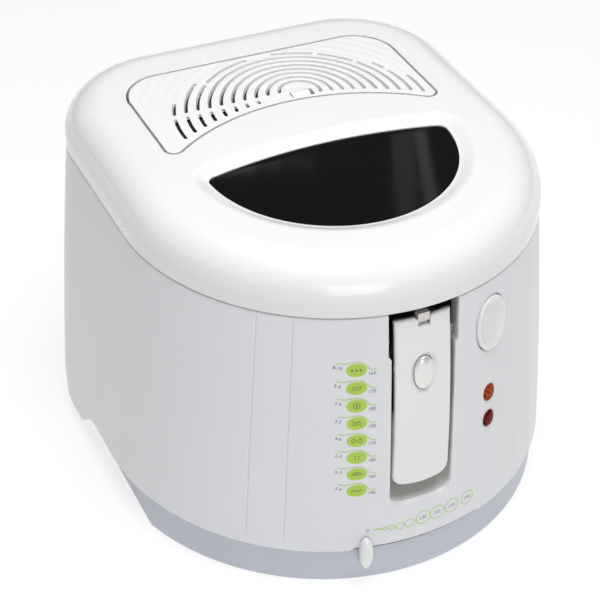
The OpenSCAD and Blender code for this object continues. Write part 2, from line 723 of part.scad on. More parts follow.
// ---- filter cover with its ring slots and finger tab ----
ring_y = 44;
ring_out = 87;
tab_x = 12.5;
tab_w = 15;
tab_len = 8;
rib_as = [-14, 28, 66, 104, 142, 180];
module filter_cover() {
    color("white") at_arc() difference() {
        union() {
            translate([0, 0, lid_top - wall]) linear_extrude(wall) cover_plan(0);
            translate([0, 0, ledge_z + 0.1]) linear_extrude(lid_top - wall - ledge_z) difference() {
                cover_plan(0);
                cover_plan(-2);
            }
        }
        difference() {
            for (i = [0:ring_count - 1]) translate([0, ring_y, lid_top - wall - 1]) linear_extrude(wall + 2)
                difference() {
                    circle(r = ring_out - i * ring_pitch + ring_w / 2);
                    circle(r = ring_out - i * ring_pitch - ring_w / 2);
                }
            translate([0, 0, lid_top - wall - 2]) linear_extrude(wall + 4) difference() {
                translate([-big, -big]) square(2 * big);
                cover_plan(-5.5);
            }
            for (a = rib_as) translate([0, ring_y, lid_top - wall - 2]) rotate([0, 0, a])
                box(0, ring_out + 5, -1, 1, 0, wall + 4);
        }
        // finger notch at the front edge
        box(tab_x - tab_w / 2, tab_x + tab_w / 2, cover_front, cover_apex + tab_len, lid_top - 1.6, lid_top + 1);
    }
}

// ---- hinge: leaf on the lid, bracket on the body ----
leaf_xs = [-36, 24];
leaf_w = 12;
leaf_z0 = rim_z + 1.4;
lid_back = ay + rear_top + gap;
knuckle_half = 23.6;
hinge_screw_xs = [-16, 16];
hinge_screw_z = rim_z - 27;
module hinge_leaf() {
    color("white") difference() {
        union() for (x = leaf_xs) {
            translate([x, hinge_y, hinge_z]) rotate([0, 90, 0]) cylinder(h = leaf_w, r = hinge_r);
            box(x, x + leaf_w, lid_back, hinge_y, leaf_z0, edge_top - 1);
        }
        translate([-50, hinge_y, hinge_z]) rotate([0, 90, 0]) cylinder(h = 100, r = hinge_pin_r + 0.06);
    }
}
module hinge_bracket() {
    color("white") difference() {
        union() {
            translate([-knuckle_half, hinge_y, hinge_z]) rotate([0, 90, 0]) cylinder(h = 2 * knuckle_half, r = hinge_r);
            box(-knuckle_half, knuckle_half, ay + rear_top + gap, hinge_y, rim_z - 32, rim_z - 0.4);
            box(-knuckle_half, knuckle_half, hinge_y - 4, hinge_y + hinge_r, rim_z - 20, hinge_z);
        }
        translate([-50, hinge_y, hinge_z]) rotate([0, 90, 0]) cylinder(h = 100, r = hinge_pin_r);
        for (x = hinge_screw_xs) translate([x, 0, hinge_screw_z]) rotate([-90, 0, 0]) cylinder(h = big, r = 2);
    }
}
module hinge_screws() {
    wall_in = ay + rear_y(hinge_screw_z) - wall;
    color("silver") for (x = hinge_screw_xs) translate([x, 0, hinge_screw_z]) rotate([-90, 0, 0]) {
        translate([0, 0, hinge_y]) cylinder(h = 1.6, r = 3.4);
        translate([0, 0, wall_in]) cylinder(h = hinge_y - wall_in + 0.8, r = 1.95);
    }
}
module hinge_pin() {
    color("silver") translate([-37, hinge_y, hinge_z]) rotate([0, 90, 0]) cylinder(h = 74, r = hinge_pin_r);
}

// ---- basket handle: cover, frame with two slotted cheeks, button and catch ----
pivot_z = rim_z - pivot_drop;
face_top_z = rim_z - 7;
face_top_y = front_r(rim_z) - handle_inset;
face_low_y = front_r(handle_low_z) - handle_low_inset;
face_tilt = atan((face_low_y - face_top_y) / (face_top_z - handle_low_z));
face_len = (face_top_z - handle_low_z) / cos(face_tilt);
cover_t = 2.5;
cheek_x = handle_half_w - 6.5;
cheek_t = 3;
peg_reach = basket_lift / 2;
peg_r = 2;
// widest drift of the peg in its slot, because the basket rises evenly
slot_half = peg_r + 1.6;
btn_at = 36.9;
catch_half = 3.8;

// frame of the handle's face: origin at its top edge, +Y inward, -Z down the face
module on_face() { at_arc() translate([0, -face_top_y, face_top_z]) rotate([-face_tilt, 0, 0]) children(); }

module at_pivot() { at_arc() translate([0, -pivot_y, pivot_z]) children(); }

module face_outline(inset) {
    r = 5;
    w = handle_half_w - inset;
    intersection() {
        translate([-w, -face_len]) square([2 * w, face_len]);
        translate([0, 70 - face_len]) circle(r = 70);
        union() {
            translate([-w, -face_len + r + 2]) square([2 * w, face_len]);
            for (s = [-1, 1]) translate([s * (w - r), -face_len + r + 2]) circle(r = r);
            translate([r - w, -face_len]) square([2 * (w - r), face_len]);
        }
    }
}

module handle_cover() {
    color("white") on_face() difference() {
        rotate([90, 0, 0]) translate([0, 0, -9]) linear_extrude(9) face_outline(0);
        box(-handle_half_w + 2, handle_half_w - 2, cover_t, 10, 4.5 - face_len, 1);
        // side walls stay low where the lift arms' pegs pass
        box(-handle_half_w - 1, handle_half_w + 1, 3, 10, -66, 1);
        translate([0, 0, -btn_at]) out_oval(btn_w + 2 * gap, btn_h + 2 * gap, -12, 3);
        box(-catch_half - 0.5, catch_half + 0.5, -1, cover_t + 1, -5.8, 1);
    }
}

module handle_frame() {
    z_top = pivot_z + 18;
    z_low = pivot_z - 44;
    function back_of_cover(z) = pivot_y - face_top_y - (face_top_z - z) * tan(face_tilt) + cover_t + 0.25;
    color("darkslategray") at_pivot() difference() {
        union() {
            for (s = [-1, 1]) translate([s * (cheek_x + cheek_t / 2), 0, 0]) rotate([90, 0, 90])
                translate([0, 0, -cheek_t / 2]) linear_extrude(cheek_t) {
                    circle(r = 7.5);
                    polygon([[back_of_cover(z_top), 18], [-5, 12], [4, 4], [-1, -6], [-9, -30], [-12, -44],
                        [back_of_cover(z_low), -44]]);
                }
            // cross plate behind the button, and the web down to the grip's end
            translate([0, pivot_y - face_top_y, face_top_z - pivot_z]) rotate([-face_tilt, 0, 0]) {
                box(-cheek_x - 1, cheek_x + 1, 10.5, 12.5, -btn_at - 10, -btn_at + 10);
                box(-cheek_x - 1, cheek_x + 1, cover_t + 0.9, 6, -face_len + 6, -66);
            }
        }
        rotate([0, 90, 0]) cylinder(h = 100, r = pin_r + 0.06, center = true);
        rotate([225, 0, 0]) box(-30, 30, peg_reach - peg_r - 0.7, peg_reach * sqrt(2) + peg_r + 0.7,
            -slot_half, slot_half);
    }
}

module handle_pin() {
    color("silver") at_pivot() rotate([0, 90, 0])
        cylinder(h = 2 * (cheek_x + cheek_t) + 1, r = pin_r, center = true);
}

module handle_bracket() {
    half = cheek_x - 0.6;
    color("dimgray") at_pivot() difference() {
        union() {
            rotate([0, 90, 0]) cylinder(h = 2 * half, r = 7, center = true);
            box(-half, half, 0, pivot_y - deep_back, -7, bowl_rim_z - pivot_z);
            box(-half, half, pivot_y - deep_back - 4, pivot_y - deep_back, -20, -7);
        }
        rotate([0, 90, 0]) cylinder(h = 100, r = pin_r, center = true);
    }
}

module handle_button() {
    color("lightgray") on_face() translate([0, 0, -btn_at]) {
        out_oval(btn_w, btn_h, -3.2, 0.8);
        out_rod(3, -6.6, -3.2);
    }
}
module handle_button_spring() {
    color("silver") on_face() translate([0, 3.3, -btn_at]) rotate([-90, 0, 0]) coil(4.6, 0.45, 7.1, 4);
}
module handle_catch() {
    color("lightyellow") on_face() {
        box(-catch_half, catch_half, 0.4, cover_t + 0.3, -3.4, 2);
        box(-catch_half, catch_half, cover_t + 0.3, cover_t + 2.3, -18, 2);
    }
}

// ---- basket and the two arms that the handle lifts it by ----
basket_z = bowl_floor_z + 5;
basket_wall = 1.6;
arm_x = handle_half_w + 0.8;
lift_t = 2.2;
cross_z = bowl_rim_z + bowl_t + 1.5;
module basket() {
    color("silver") translate([0, bowl_y, basket_z]) rotate_extrude($fn = 128) {
        square([basket_r, basket_wall]);
        translate([basket_r - basket_wall, 0]) square([basket_wall, basket_h]);
    }
}
module basket_lift_arms() {
    y_in = ay - bowl_y + sqrt(pow(basket_r, 2) - pow(arm_x, 2)) + 0.1;
    color("silver") at_arc() for (s = [0, 1]) mirror([s, 0, 0]) {
        box(arm_x, arm_x + lift_t, -arm_front, 8 - arm_front, arm_low_z, cross_z + 6);
        box(arm_x, arm_x + lift_t, -arm_front, -y_in, cross_z, cross_z + 6);
        box(arm_x, arm_x + lift_t, -y_in - 8, -y_in, basket_z + basket_h - 10, cross_z + 6);
        translate([cheek_x + 0.2, -pivot_y - peg_reach, pivot_z - peg_reach]) rotate([0, 90, 0])
            cylinder(h = arm_x - cheek_x, r = peg_r);
    }
}

// ---- temperature slider ----
knob_h = 22;
module slider_knob() {
    color("white") at_front(slider_off, seam_z) difference() {
        out_oval(knob_w, knob_h, skirt_r + gap + 0.4, skirt_r + gap + knob_out);
        box(-3, 3, -skirt_r - gap - 4, -skirt_r, arm_z - seam_z, arm_z - seam_z + arm_t);
    }
}
module slider_arm() {
    color("gray") at_front(slider_off) difference() {
        union() {
            box(-3, 3, -skirt_r - gap - 4, 0, arm_z, arm_z + arm_t);
            translate([0, 0, arm_z]) cylinder(h = arm_t, r = 8);
        }
        cylinder(h = big, r = spindle_r);
    }
}
module thermostat_spindle() {
    color("silver") at_arc() translate([0, 0, spindle_low_z + 0.2])
        cylinder(h = thermo_z + 8 - spindle_low_z, r = spindle_r);
}

body_shell();
base_pan();
rubber_feet();
base_screws();
top_collar();
oil_bowl();
heating_ring();
heat_shield();
thermostat();
thermal_cutout();
terminal_block();
cord_gland();
lamp_lens_red();
lamp_lens_orange();
lamp_holder();
neon_bulbs();
button_housing();
handle_bracket();
handle_pin();
hinge_bracket();
hinge_pin();
collar_screws();
lid_shell();
lid_liner();
window_glass();
window_seal();
lid_gasket();
lid_catch();
hinge_leaf();
liner_screws();
grease_filter();
carbon_filter();
filter_cover();
release_button();
latch_hook();
button_spring();
handle_cover();
handle_frame();
handle_button();
handle_button_spring();
handle_catch();
basket();
basket_lift_arms();
slider_knob();
slider_arm();
thermostat_spindle();
hinge_screws();
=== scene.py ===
import json
import math

import bmesh
import bpy
from mathutils import Matrix, Vector
from mathutils.geometry import delaunay_2d_cdt


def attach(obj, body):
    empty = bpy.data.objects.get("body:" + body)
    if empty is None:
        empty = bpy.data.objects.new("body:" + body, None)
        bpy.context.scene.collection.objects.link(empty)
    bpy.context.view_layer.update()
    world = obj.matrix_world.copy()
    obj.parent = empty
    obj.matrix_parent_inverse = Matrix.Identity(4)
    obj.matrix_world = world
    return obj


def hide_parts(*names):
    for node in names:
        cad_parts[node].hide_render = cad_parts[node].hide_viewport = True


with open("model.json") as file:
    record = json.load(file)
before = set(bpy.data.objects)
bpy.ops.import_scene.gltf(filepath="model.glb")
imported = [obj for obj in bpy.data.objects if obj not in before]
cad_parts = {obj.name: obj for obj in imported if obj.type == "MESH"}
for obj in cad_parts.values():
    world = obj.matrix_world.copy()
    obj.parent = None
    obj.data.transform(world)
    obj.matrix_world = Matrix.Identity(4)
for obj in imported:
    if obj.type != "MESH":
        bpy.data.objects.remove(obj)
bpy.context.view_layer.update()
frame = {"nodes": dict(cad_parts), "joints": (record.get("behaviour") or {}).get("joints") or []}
nodes = frame["nodes"]
joints = {j["name"]: j for j in frame["joints"]}
scene = bpy.context.scene

# lengths below are millimetres in the front arc's frame; makers turn them into metres
arcY = joints["slider_turn"]["pos_m"][1] * 1000
# edges that bend more than this many degrees stay sharp
sharpAngle = 38
print("frame loaded, arc at", round(arcY, 2))


# helpers
def mix(a, b, t):
    return a + (b - a) * t


def between(p, q, t):
    return mix(p[0], q[0], t), mix(p[1], q[1], t)


def steps(a, b, n):
    return [mix(a, b, i / n) for i in range(n + 1)]


def clampTo(v, low, high):
    return max(low, min(high, v))


def smooth(t):
    t = clampTo(t, 0, 1)
    return t * t * (3 - 2 * t)


def table(pairs, x):
    # straight-line interpolation in a list of (x, value tuple)
    if x <= pairs[0][0]:
        return pairs[0][1]
    for (x0, v0), (x1, v1) in zip(pairs, pairs[1:]):
        if x <= x1:
            t = (x - x0) / (x1 - x0)
            return tuple(mix(p, q, t) for p, q in zip(v0, v1))
    return pairs[-1][1]


def cosD(a):
    return math.cos(math.radians(a))


def sinD(a):
    return math.sin(math.radians(a))


def turned(p, a):
    # about the arc's centre, from straight ahead to an angle in degrees
    c, s = cosD(a), sinD(a)
    return (p[0] * c - p[1] * s, p[0] * s + p[1] * c, p[2])


def ovalRay(dx, dz, w, h):
    # where a ray from the middle meets an upright oval, a little fuller than an ellipse
    n = 2 if abs(w - h) < 0.01 else 2.15
    t = (abs(2 * dx / w) ** n + abs(2 * dz / h) ** n) ** (-1 / n)
    return dx * t, dz * t


def ovalLoop(w, h, n=64):
    return [ovalRay(math.cos(2 * math.pi * k / n), math.sin(2 * math.pi * k / n) * h / w, w, h) for k in range(n)]


def atHeight(loop, z):
    return [(x, y, z) for x, y in loop]


def gridPath(*corners):
    # grid points along straight runs from corner to corner, without the last one
    out = []
    for (i0, j0), (i1, j1) in zip(corners, corners[1:]):
        n = abs(i1 - i0) + abs(j1 - j0)
        out += [(i0 + (i1 - i0) * k // n, j0 + (j1 - j0) * k // n) for k in range(n)]
    return out


def gridLoop(i0, i1, j0, j1):
    return gridPath((i0, j0), (i1, j0), (i1, j1), (i0, j1), (i0, j0))


def cutFiner(loop, many):
    # a closed loop with each of its edges cut into equal parts
    return [between(p, q, k / many) for p, q in zip(loop, loop[1:] + loop[:1]) for k in range(many)]


def addObject(name, data):
    obj = bpy.data.objects.new(name, data)
    scene.collection.objects.link(obj)
    return obj


def wallColumns(angles, along, turns, behind):
    # once round an outline, as (kind, place, side): front arc, right side and corner, rear, left corner and side
    cols = [("arc", a, 0) for a in angles]
    cols += [("side", t, 1) for t in steps(0, 1, along)[1:]]
    cols += [("corner", q, 1) for q in steps(0, 90, turns)[1:]]
    cols += [("rear", t, 0) for t in steps(1, -1, behind)[1:]]
    cols += [("corner", q, -1) for q in steps(90, 0, turns)[1:]]
    return cols + [("side", t, -1) for t in steps(1, 0, along)[1:-1]]


def outlinePoint(col, inset, z, r, corner, sideY):
    kind, t, side = col
    if kind == "arc":
        return ((r - inset) * sinD(t), -(r - inset) * cosD(t), z)
    if kind == "side":
        return (side * (r - inset), t * sideY, z)
    if kind == "corner":
        return (side * (r - corner + (corner - inset) * cosD(t)), sideY + (corner - inset) * sinD(t), z)
    return (t * (r - corner), sideY + corner - inset, z)


class Build:
    def __init__(self):
        self.verts, self.faces, self.slots = [], [], []

    def ring(self, points):
        first = len(self.verts)
        self.verts += [tuple(p) for p in points]
        return list(range(first, len(self.verts)))

    def face(self, ids, slot=0):
        ids = [i for k, i in enumerate(ids) if i != ids[k - 1]]
        if len(ids) > 2:
            self.faces.append(ids)
            self.slots.append(slot)

    def bridge(self, a, b, closed=True):
        # b may have a whole multiple of a's points
        count = len(a) if closed else len(a) - 1
        factor = max(1, round(len(b) / len(a)) if closed else round((len(b) - 1) / (len(a) - 1)))
        for i in range(count):
            i2 = (i + 1) % len(a)
            inner = [b[(i * factor + k) % len(b)] for k in range(factor + 1)]
            if factor == 1:
                self.face([a[i], a[i2], inner[1], inner[0]])
                continue
            half = factor // 2
            for k in range(half):
                self.face([a[i], inner[k + 1], inner[k]])
            self.face([a[i], a[i2], inner[half]])
            for k in range(half, factor):
                self.face([a[i2], inner[k + 1], inner[k]])

    def extend(self, ids, points, closed=True):
        more = self.ring(points)
        self.bridge(ids, more, closed)
        return more

    def sweep(self, rings):
        ids = [self.ring(r) for r in rings]
        for a, b in zip(ids, ids[1:]):
            self.bridge(a, b)
        return ids

    def make(self, name, body, *tones, weld=0.004, onWall=False):
        mesh = bpy.data.meshes.new(name)
        mesh.from_pydata([(x / 1000, (y + arcY) / 1000, z / 1000) for x, y, z in self.verts], [], self.faces)
        for tone in tones:
            mesh.materials.append(look[tone])
        for poly, slot in zip(mesh.polygons, self.slots):
            poly.material_index = slot
        bm = bmesh.new()
        bm.from_mesh(mesh)
        if weld:
            bmesh.ops.remove_doubles(bm, verts=bm.verts, dist=weld / 1000)
        bmesh.ops.recalc_face_normals(bm, faces=bm.faces)
        if onWall:
            # open prints all face away from the arc's axis
            out = Vector((0, arcY / 1000, 0))
            away = [f for f in bm.faces if f.normal.dot((f.calc_center_median() - out) * Vector((1, 1, 0))) < 0]
            bmesh.ops.reverse_faces(bm, faces=away)
        bm.normal_update()
        for e in bm.edges:
            if len(e.link_faces) == 2 and e.calc_face_angle(0) > math.radians(sharpAngle):
                e.smooth = False
        bm.to_mesh(mesh)
        bm.free()
        mesh.polygons.foreach_set("use_smooth", [True] * len(mesh.polygons))
        obj = addObject(name, mesh)
        weighted = obj.modifiers.new("weighted", "WEIGHTED_NORMAL")
        weighted.keep_sharp = True
        weighted.weight = 80
        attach(obj, body)
        return obj


# materials
look = {}


def nodeSet(name):
    mat = look[name] = bpy.data.materials.new(name)
    mat.use_nodes = True
    return mat.node_tree, mat.node_tree.nodes["Principled BSDF"]


def wire(tree, node, values, feeds):
    # both are by input: values are plain, feeds are other nodes' outputs
    for key, value in values.items():
        node.inputs[key].default_value = value
    for key, output in feeds.items():
        tree.links.new(output, node.inputs[key])
    return node.outputs


def addNode(tree, kind, values, feeds, operation=None):
    node = tree.nodes.new("ShaderNode" + kind)
    if operation:
        node.operation = operation
    return wire(tree, node, values, feeds)


def addRamp(tree, feed, stops):
    # stops are two (position, colour) pairs
    ramp = tree.nodes.new("ShaderNodeValToRGB")
    for element, (position, color) in zip(ramp.color_ramp.elements, stops):
        element.position, element.color = position, color
    return wire(tree, ramp, {}, {"Fac": feed})["Color"]


def objectSpace(tree):
    return addNode(tree, "TexCoord", {}, {})["Object"]


def surface(name, color, rough, grain, grainDepth, mottle, metallic=0, coat=0, speck=0, stretch=(1, 1, 1), **extra):
    # colour, roughness and height all vary a little with noise at the material's own scale
    tree, shader = nodeSet(name)
    place = addNode(tree, "Mapping", {"Scale": stretch}, {"Vector": objectSpace(tree)})["Vector"]
    broad = addNode(tree, "TexNoise", {"Scale": 14, "Detail": 3}, {"Vector": place})["Fac"]
    fine = addNode(tree, "TexNoise", {"Scale": grain, "Detail": 4}, {"Vector": place})["Fac"]
    base = addRamp(tree, broad, ((0.3, [c * (1 - mottle) for c in color] + [1]),
                                 (0.7, [min(1, c * (1 + mottle)) for c in color] + [1])))
    if speck:
        dots = addNode(tree, "TexVoronoi", {"Scale": grain / 2}, {"Vector": place})["Distance"]
        spots = addRamp(tree, dots, ((0.08, (1, 1, 1, 1)), (0.2, (0, 0, 0, 1))))
        base = addNode(tree, "MixRGB", {"Color2": [clampTo(c + speck, 0, 1) for c in color] + [1]},
                       {"Fac": spots, "Color1": base})["Color"]
    span = addNode(tree, "MapRange", {"To Min": max(0.02, rough - 0.06), "To Max": rough + 0.06}, {"Value": fine})
    feeds = {"Base Color": base, "Roughness": span["Result"]}
    if grainDepth:
        feeds["Normal"] = addNode(tree, "Bump", {"Strength": 0.08, "Distance": grainDepth / 1000},
                                  {"Height": fine})["Normal"]
    wire(tree, shader, {"Metallic": metallic, "Coat Weight": coat, "Coat Roughness": 0.08, **extra}, feeds)


surface("body_white", (0.80, 0.81, 0.835), 0.34, 1500, 0.010, 0.012, coat=0.15)
surface("lid_white", (0.86, 0.86, 0.865), 0.2, 700, 0.004, 0.008, coat=0.5)
surface("cover_white", (0.86, 0.86, 0.86), 0.26, 900, 0.006, 0.008, coat=0.3)
surface("button_white", (0.87, 0.875, 0.88), 0.22, 800, 0.004, 0.008, coat=0.5)
# painted shade: the base is white plastic, coloured a darker bluish grey for the shade it stands in
surface("base_painted_shade_grey", (0.56, 0.59, 0.66), 0.36, 1500, 0.012, 0.015)
# painted shade: the inside of the handle recess is a darker, warmer grey for the shade that falls in it
surface("recess_painted_shade_grey", (0.60, 0.60, 0.57), 0.45, 1300, 0.012, 0.02)
surface("push_white", (0.84, 0.845, 0.86), 0.24, 800, 0.004, 0.01, coat=0.3)
surface("inner_white", (0.74, 0.74, 0.72), 0.45, 1200, 0.012, 0.02)
surface("heat_moulding", (0.72, 0.66, 0.54), 0.6, 1000, 0.03, 0.04)
# black plastic of the cord gland; on the body skin the same black is painted shade at the top of the handle recess, in
# the gap behind the folded handle
surface("black_plastic", (0.012, 0.012, 0.013), 0.42, 1200, 0.015, 0.1)
surface("dark_steel", (0.02, 0.022, 0.025), 0.4, 1400, 0.01, 0.1, metallic=0.4)
surface("rubber", (0.02, 0.02, 0.02), 0.75, 900, 0.04, 0.15)
surface("silicone", (0.42, 0.42, 0.42), 0.5, 900, 0.02, 0.05)
surface("zinc_steel", (0.52, 0.53, 0.54), 0.32, 600, 0.01, 0.06, metallic=1, stretch=(1, 1, 8))
surface("sheet_steel", (0.58, 0.58, 0.57), 0.38, 500, 0.01, 0.05, metallic=1, stretch=(1, 8, 1))
surface("cast_aluminium", (0.45, 0.45, 0.44), 0.55, 500, 0.08, 0.08, metallic=1)
surface("bowl_coating", (0.03, 0.03, 0.032), 0.38, 1600, 0.03, 0.1, speck=0.12)
surface("plated_wire", (0.66, 0.66, 0.67), 0.16, 400, 0.004, 0.04, metallic=1)
surface("pearl_metal", (0.84, 0.83, 0.81), 0.32, 900, 0.006, 0.03, metallic=0.4, coat=0.3)
surface("filter_mesh", (0.5, 0.5, 0.5), 0.45, 1800, 0.3, 0.2, metallic=0.9)
surface("carbon_felt", (0.035, 0.033, 0.03), 0.95, 1500, 0.5, 0.4)
surface("clear_catch", (0.78, 0.76, 0.70), 0.25, 700, 0.004, 0.02, coat=0.4,
        **{"Subsurface Weight": 0.3, "Subsurface Scale": 0.002})
surface("bulb_glass", (0.9, 0.8, 0.7), 0.1, 700, 0.002, 0.02, **{"Transmission Weight": 0.7})
surface("print_green", (0.46, 0.68, 0.075), 0.4, 1200, 0.004, 0.04)
surface("print_grey", (0.13, 0.135, 0.17), 0.45, 1200, 0.004, 0.05)
surface("print_motif", (0.17, 0.24, 0.06), 0.45, 1200, 0.004, 0.05)
print("materials made:", len(look))


# body skin: one wall with the recess, button hole, lamp holes and grooves in its grid
bodyDims = {"rimZ": 198.2, "midZ": 112.8, "seamZ": 27.4, "skirtZ": 10.4, "rimR": 134.5, "midR": 143.6, "skirtR": 150.4,
            "rearTop": 164.9, "rearLow": 157, "cornerTop": 71, "cornerLow": 82, "stepY": 33, "stepLen": 30,
            "slotHalf": 17.8, "slotUp": 2, "grooveDeep": 0.8, "grooveHalf": 0.95}
recess = {"half": 21.2, "notchHalf": 23.0, "notchZ": 168, "lowZ": 58, "corner": 9, "back": 122, "deepBack": 86,
          "patch": 12, "patchLow": 45, "edge": 1.1}
lidButton = {"angle": 21.2, "z": 168, "w": 26, "h": 37, "gap": 0.5}
lamps = {"angle": 20.4, "red": 98, "orange": 117.8, "w": 9.4, "h": 11.6}
grooves = (33.6, 42.9)


def frontR(z):
    d = bodyDims
    u = (max(z, d["seamZ"]) - d["midZ"]) / (d["rimZ"] - d["midZ"])
    half = (d["rimR"] - d["skirtR"]) / 2
    return d["midR"] + half * u + (d["rimR"] - half - d["midR"]) * u * u


def rearOf(z):
    d = bodyDims
    t = (z - d["skirtZ"]) / (d["rimZ"] - d["skirtZ"])
    return mix(d["rearLow"], d["rearTop"], t), mix(d["cornerLow"], d["cornerTop"], t)


def wallPoint(col, z, inset):
    rear, corner = rearOf(z)
    return outlinePoint(col, inset, z, frontR(z), corner, rear - corner)


def lowEdge(col):
    # up along the slider's slot, down in an S to the rear skirt
    d = bodyDims
    slot = smooth((d["slotHalf"] - abs(col[1])) / 0.6) if col[0] == "arc" else 0
    y = wallPoint(col, 20, 0)[1]
    return mix(d["seamZ"], d["skirtZ"], smooth((y - d["stepY"]) / d["stepLen"])) + d["slotUp"] * slot


def bodyChart(col, v):
    # v is the height, except past the rim and under the lower edge, where it rounds over to the inside
    rim, low = bodyDims["rimZ"], lowEdge(col)
    if v > rim - 1.2:
        z, inset = table([(rim - 1.2, (rim - 1.2, 0)), (rim - 0.7, (rim - 0.35, 0.35)), (rim, (rim, 1.2)),
                          (rim + 1.3, (rim, 2.5)), (rim + 10, (rim - 12, 2.5))], v)
    else:
        z, inset = table([(22, (low + 10, 2.5)), (24, (low, 2.5)), (25, (low, 0.9)), (25.6, (low + 0.3, 0.3)),
                          (26.4, (low + 1, 0)), (36, (36, 0)), (rim, (rim, 0))], v)
    if col[0] == "arc":
        # upright grooves fade out at both ends
        for g in grooves:
            off = abs(abs(col[1]) - g) * math.radians(1) * frontR(z)
            fade = smooth((z - 34) / 4) * smooth((rim - 3 - z) / 3)
            inset += bodyDims["grooveDeep"] * (1 - smooth(off / bodyDims["grooveHalf"])) * fade
    return wallPoint(col, z, inset)


def chartAngle(x, z):
    return math.degrees(math.asin(clampTo(x / frontR(z), -1, 1)))


def bodySkin():
    rim = bodyDims["rimZ"]
    special = [-recess["patch"], recess["patch"], 13.2, 29.2, 16.4, 24]
    for g in grooves:
        for off in (-0.42, -0.28, -0.12, 0, 0.12, 0.28, 0.42):
            special += [g + off, -g - off]
    angles = sorted(special + [a / 2 for a in range(-180, 181, 3)
                               if all(abs(a / 2 - s) > 0.45 for s in special)])
    cols = wallColumns(angles, 26, 20, 8)
    rows = [22, 24, 25, 25.3, 25.6, 26, 26.4, 28, 30.5, 33, 36, 38, 41, 45, 50, 56, 62, 68, 75, 82, 88.5, 92, 95.3,
            98.6, 101.9, 105.2, 108.65, 112.2, 115.4, 118.7, 122, 125.3, 128.8, 136, 143.5, 147, 151, 155, 159, 163,
            166.8, 168, 169.2, 173, 177, 181, 185, 189, 193, rim - 1.2, rim - 0.7, rim, rim + 1.3, rim + 10]
    b = Build()
    grid = {}
    for i, col in enumerate(cols):
        for j, v in enumerate(rows):
            grid[i, j] = b.ring([bodyChart(col, v)])[0]
    count = len(cols)

    last = len(rows) - 1

    def gridBlock(a0, a1, v0, v1):
        # the grid block nearest to two angles and two heights
        return tuple(min(range(len(values)), key=lambda k: abs(values[k] - v))
                     for values, v in ((angles, a0), (angles, a1), (rows, v0), (rows, v1)))

    patches = {
        "recess": gridBlock(-recess["patch"], recess["patch"], recess["patchLow"], rows[last]),
        "button": gridBlock(13.2, 29.2, 143.5, 193),
        "orange": gridBlock(16.4, 24, 108.65, 128.8),
        "red": gridBlock(16.4, 24, 88.5, 108.65),
    }
    for i in range(count):
        for j in range(last):
            if not any(i0 <= i < i1 and j0 <= j < j1 for i0, i1, j0, j1 in patches.values()):
                i2 = (i + 1) % count
                b.face([grid[i, j], grid[i2, j], grid[i2, j + 1], grid[i, j + 1]])

    def chartPoint(c, depth, axis):
        p = bodyChart(("arc", c[0], 0), c[1])
        return (p[0] - sinD(axis) * depth, p[1] + cosD(axis) * depth, p[2])

    def holePatch(name, a0, z0, w, h, edge):
        loop = gridLoop(*patches[name])
        border = [(angles[i], rows[j]) for i, j in loop]
        ids = [grid[k] for k in loop]

        def ovalAt(grow, many):
            out = []
            for a, z in cutFiner(border, many):
                x, up = ovalRay((a - a0) * math.radians(1) * frontR(z0), z - z0, w + 2 * grow, h + 2 * grow)
                out.append((a0 + chartAngle(x, z0), up + z0))
            return out

        near = ovalAt(edge + 2.2, 1)
        mid = [between(p, q, 0.5) for p, q in zip(border, near)]
        for chart in (mid, near):
            ids = b.extend(ids, [chartPoint(c, 0, a0) for c in chart])
        for grow, sink in ((edge, 0), (edge * 0.5, edge * 0.12), (edge * 0.13, edge * 0.5), (0, edge), (0, 3)):
            ids = b.extend(ids, [chartPoint(c, sink, a0) for c in ovalAt(grow, 2)])

    holePatch("button", lidButton["angle"], lidButton["z"], lidButton["w"] + 2 * lidButton["gap"],
              lidButton["h"] + 2 * lidButton["gap"], 0.9)
    for tone in ("orange", "red"):
        holePatch(tone, lamps["angle"], lamps[tone], lamps["w"] + 0.3, lamps["h"] + 0.3, 0.6)
    recessPatch(b, grid, patches["recess"], angles, rows)
    # the recess on the skin is coloured with painted shade: black at its top, grey deeper in
    skin = b.make("body_skin", "body", "body_white", "black_plastic", "recess_painted_shade_grey")
    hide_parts("body_shell")


def recessPath(grow, lift, rows, below):
    # left lip down, round the bottom and up the right lip; lift raises the bottom as the recess gets deeper
    def halfAt(v):
        return mix(recess["half"], recess["notchHalf"], smooth((v - recess["notchZ"] + 1) / 2)) + grow

    side = [(-halfAt(v), v) for v in rows]
    r = recess["corner"] + grow
    half = recess["half"] + grow
    low = recess["lowZ"] - grow + lift
    turn = rows[-1]
    path = [(-half, turn)]
    path += [(-half + r - r * cosD(q), low + r - r * sinD(q)) for q in range(0, 91, 9)]
    path += [(x, low) for x in (-half * 0.3, 0)]
    path += [(-x, z) for x, z in reversed(path[:-1])]
    lengths = [0]
    for p, q in zip(path, path[1:]):
        lengths.append(lengths[-1] + math.dist(p, q))
    out = []
    for k in range(below + 1):
        want = lengths[-1] * k / below
        i = min(max(next((n for n, s in enumerate(lengths) if s >= want), len(path) - 1), 1), len(path) - 1)
        t = (want - lengths[i - 1]) / max(1e-9, lengths[i] - lengths[i - 1])
        out.append(between(path[i - 1], path[i], t))
    return side[:-1] + out + [(-x, z) for x, z in reversed(side[:-1])]


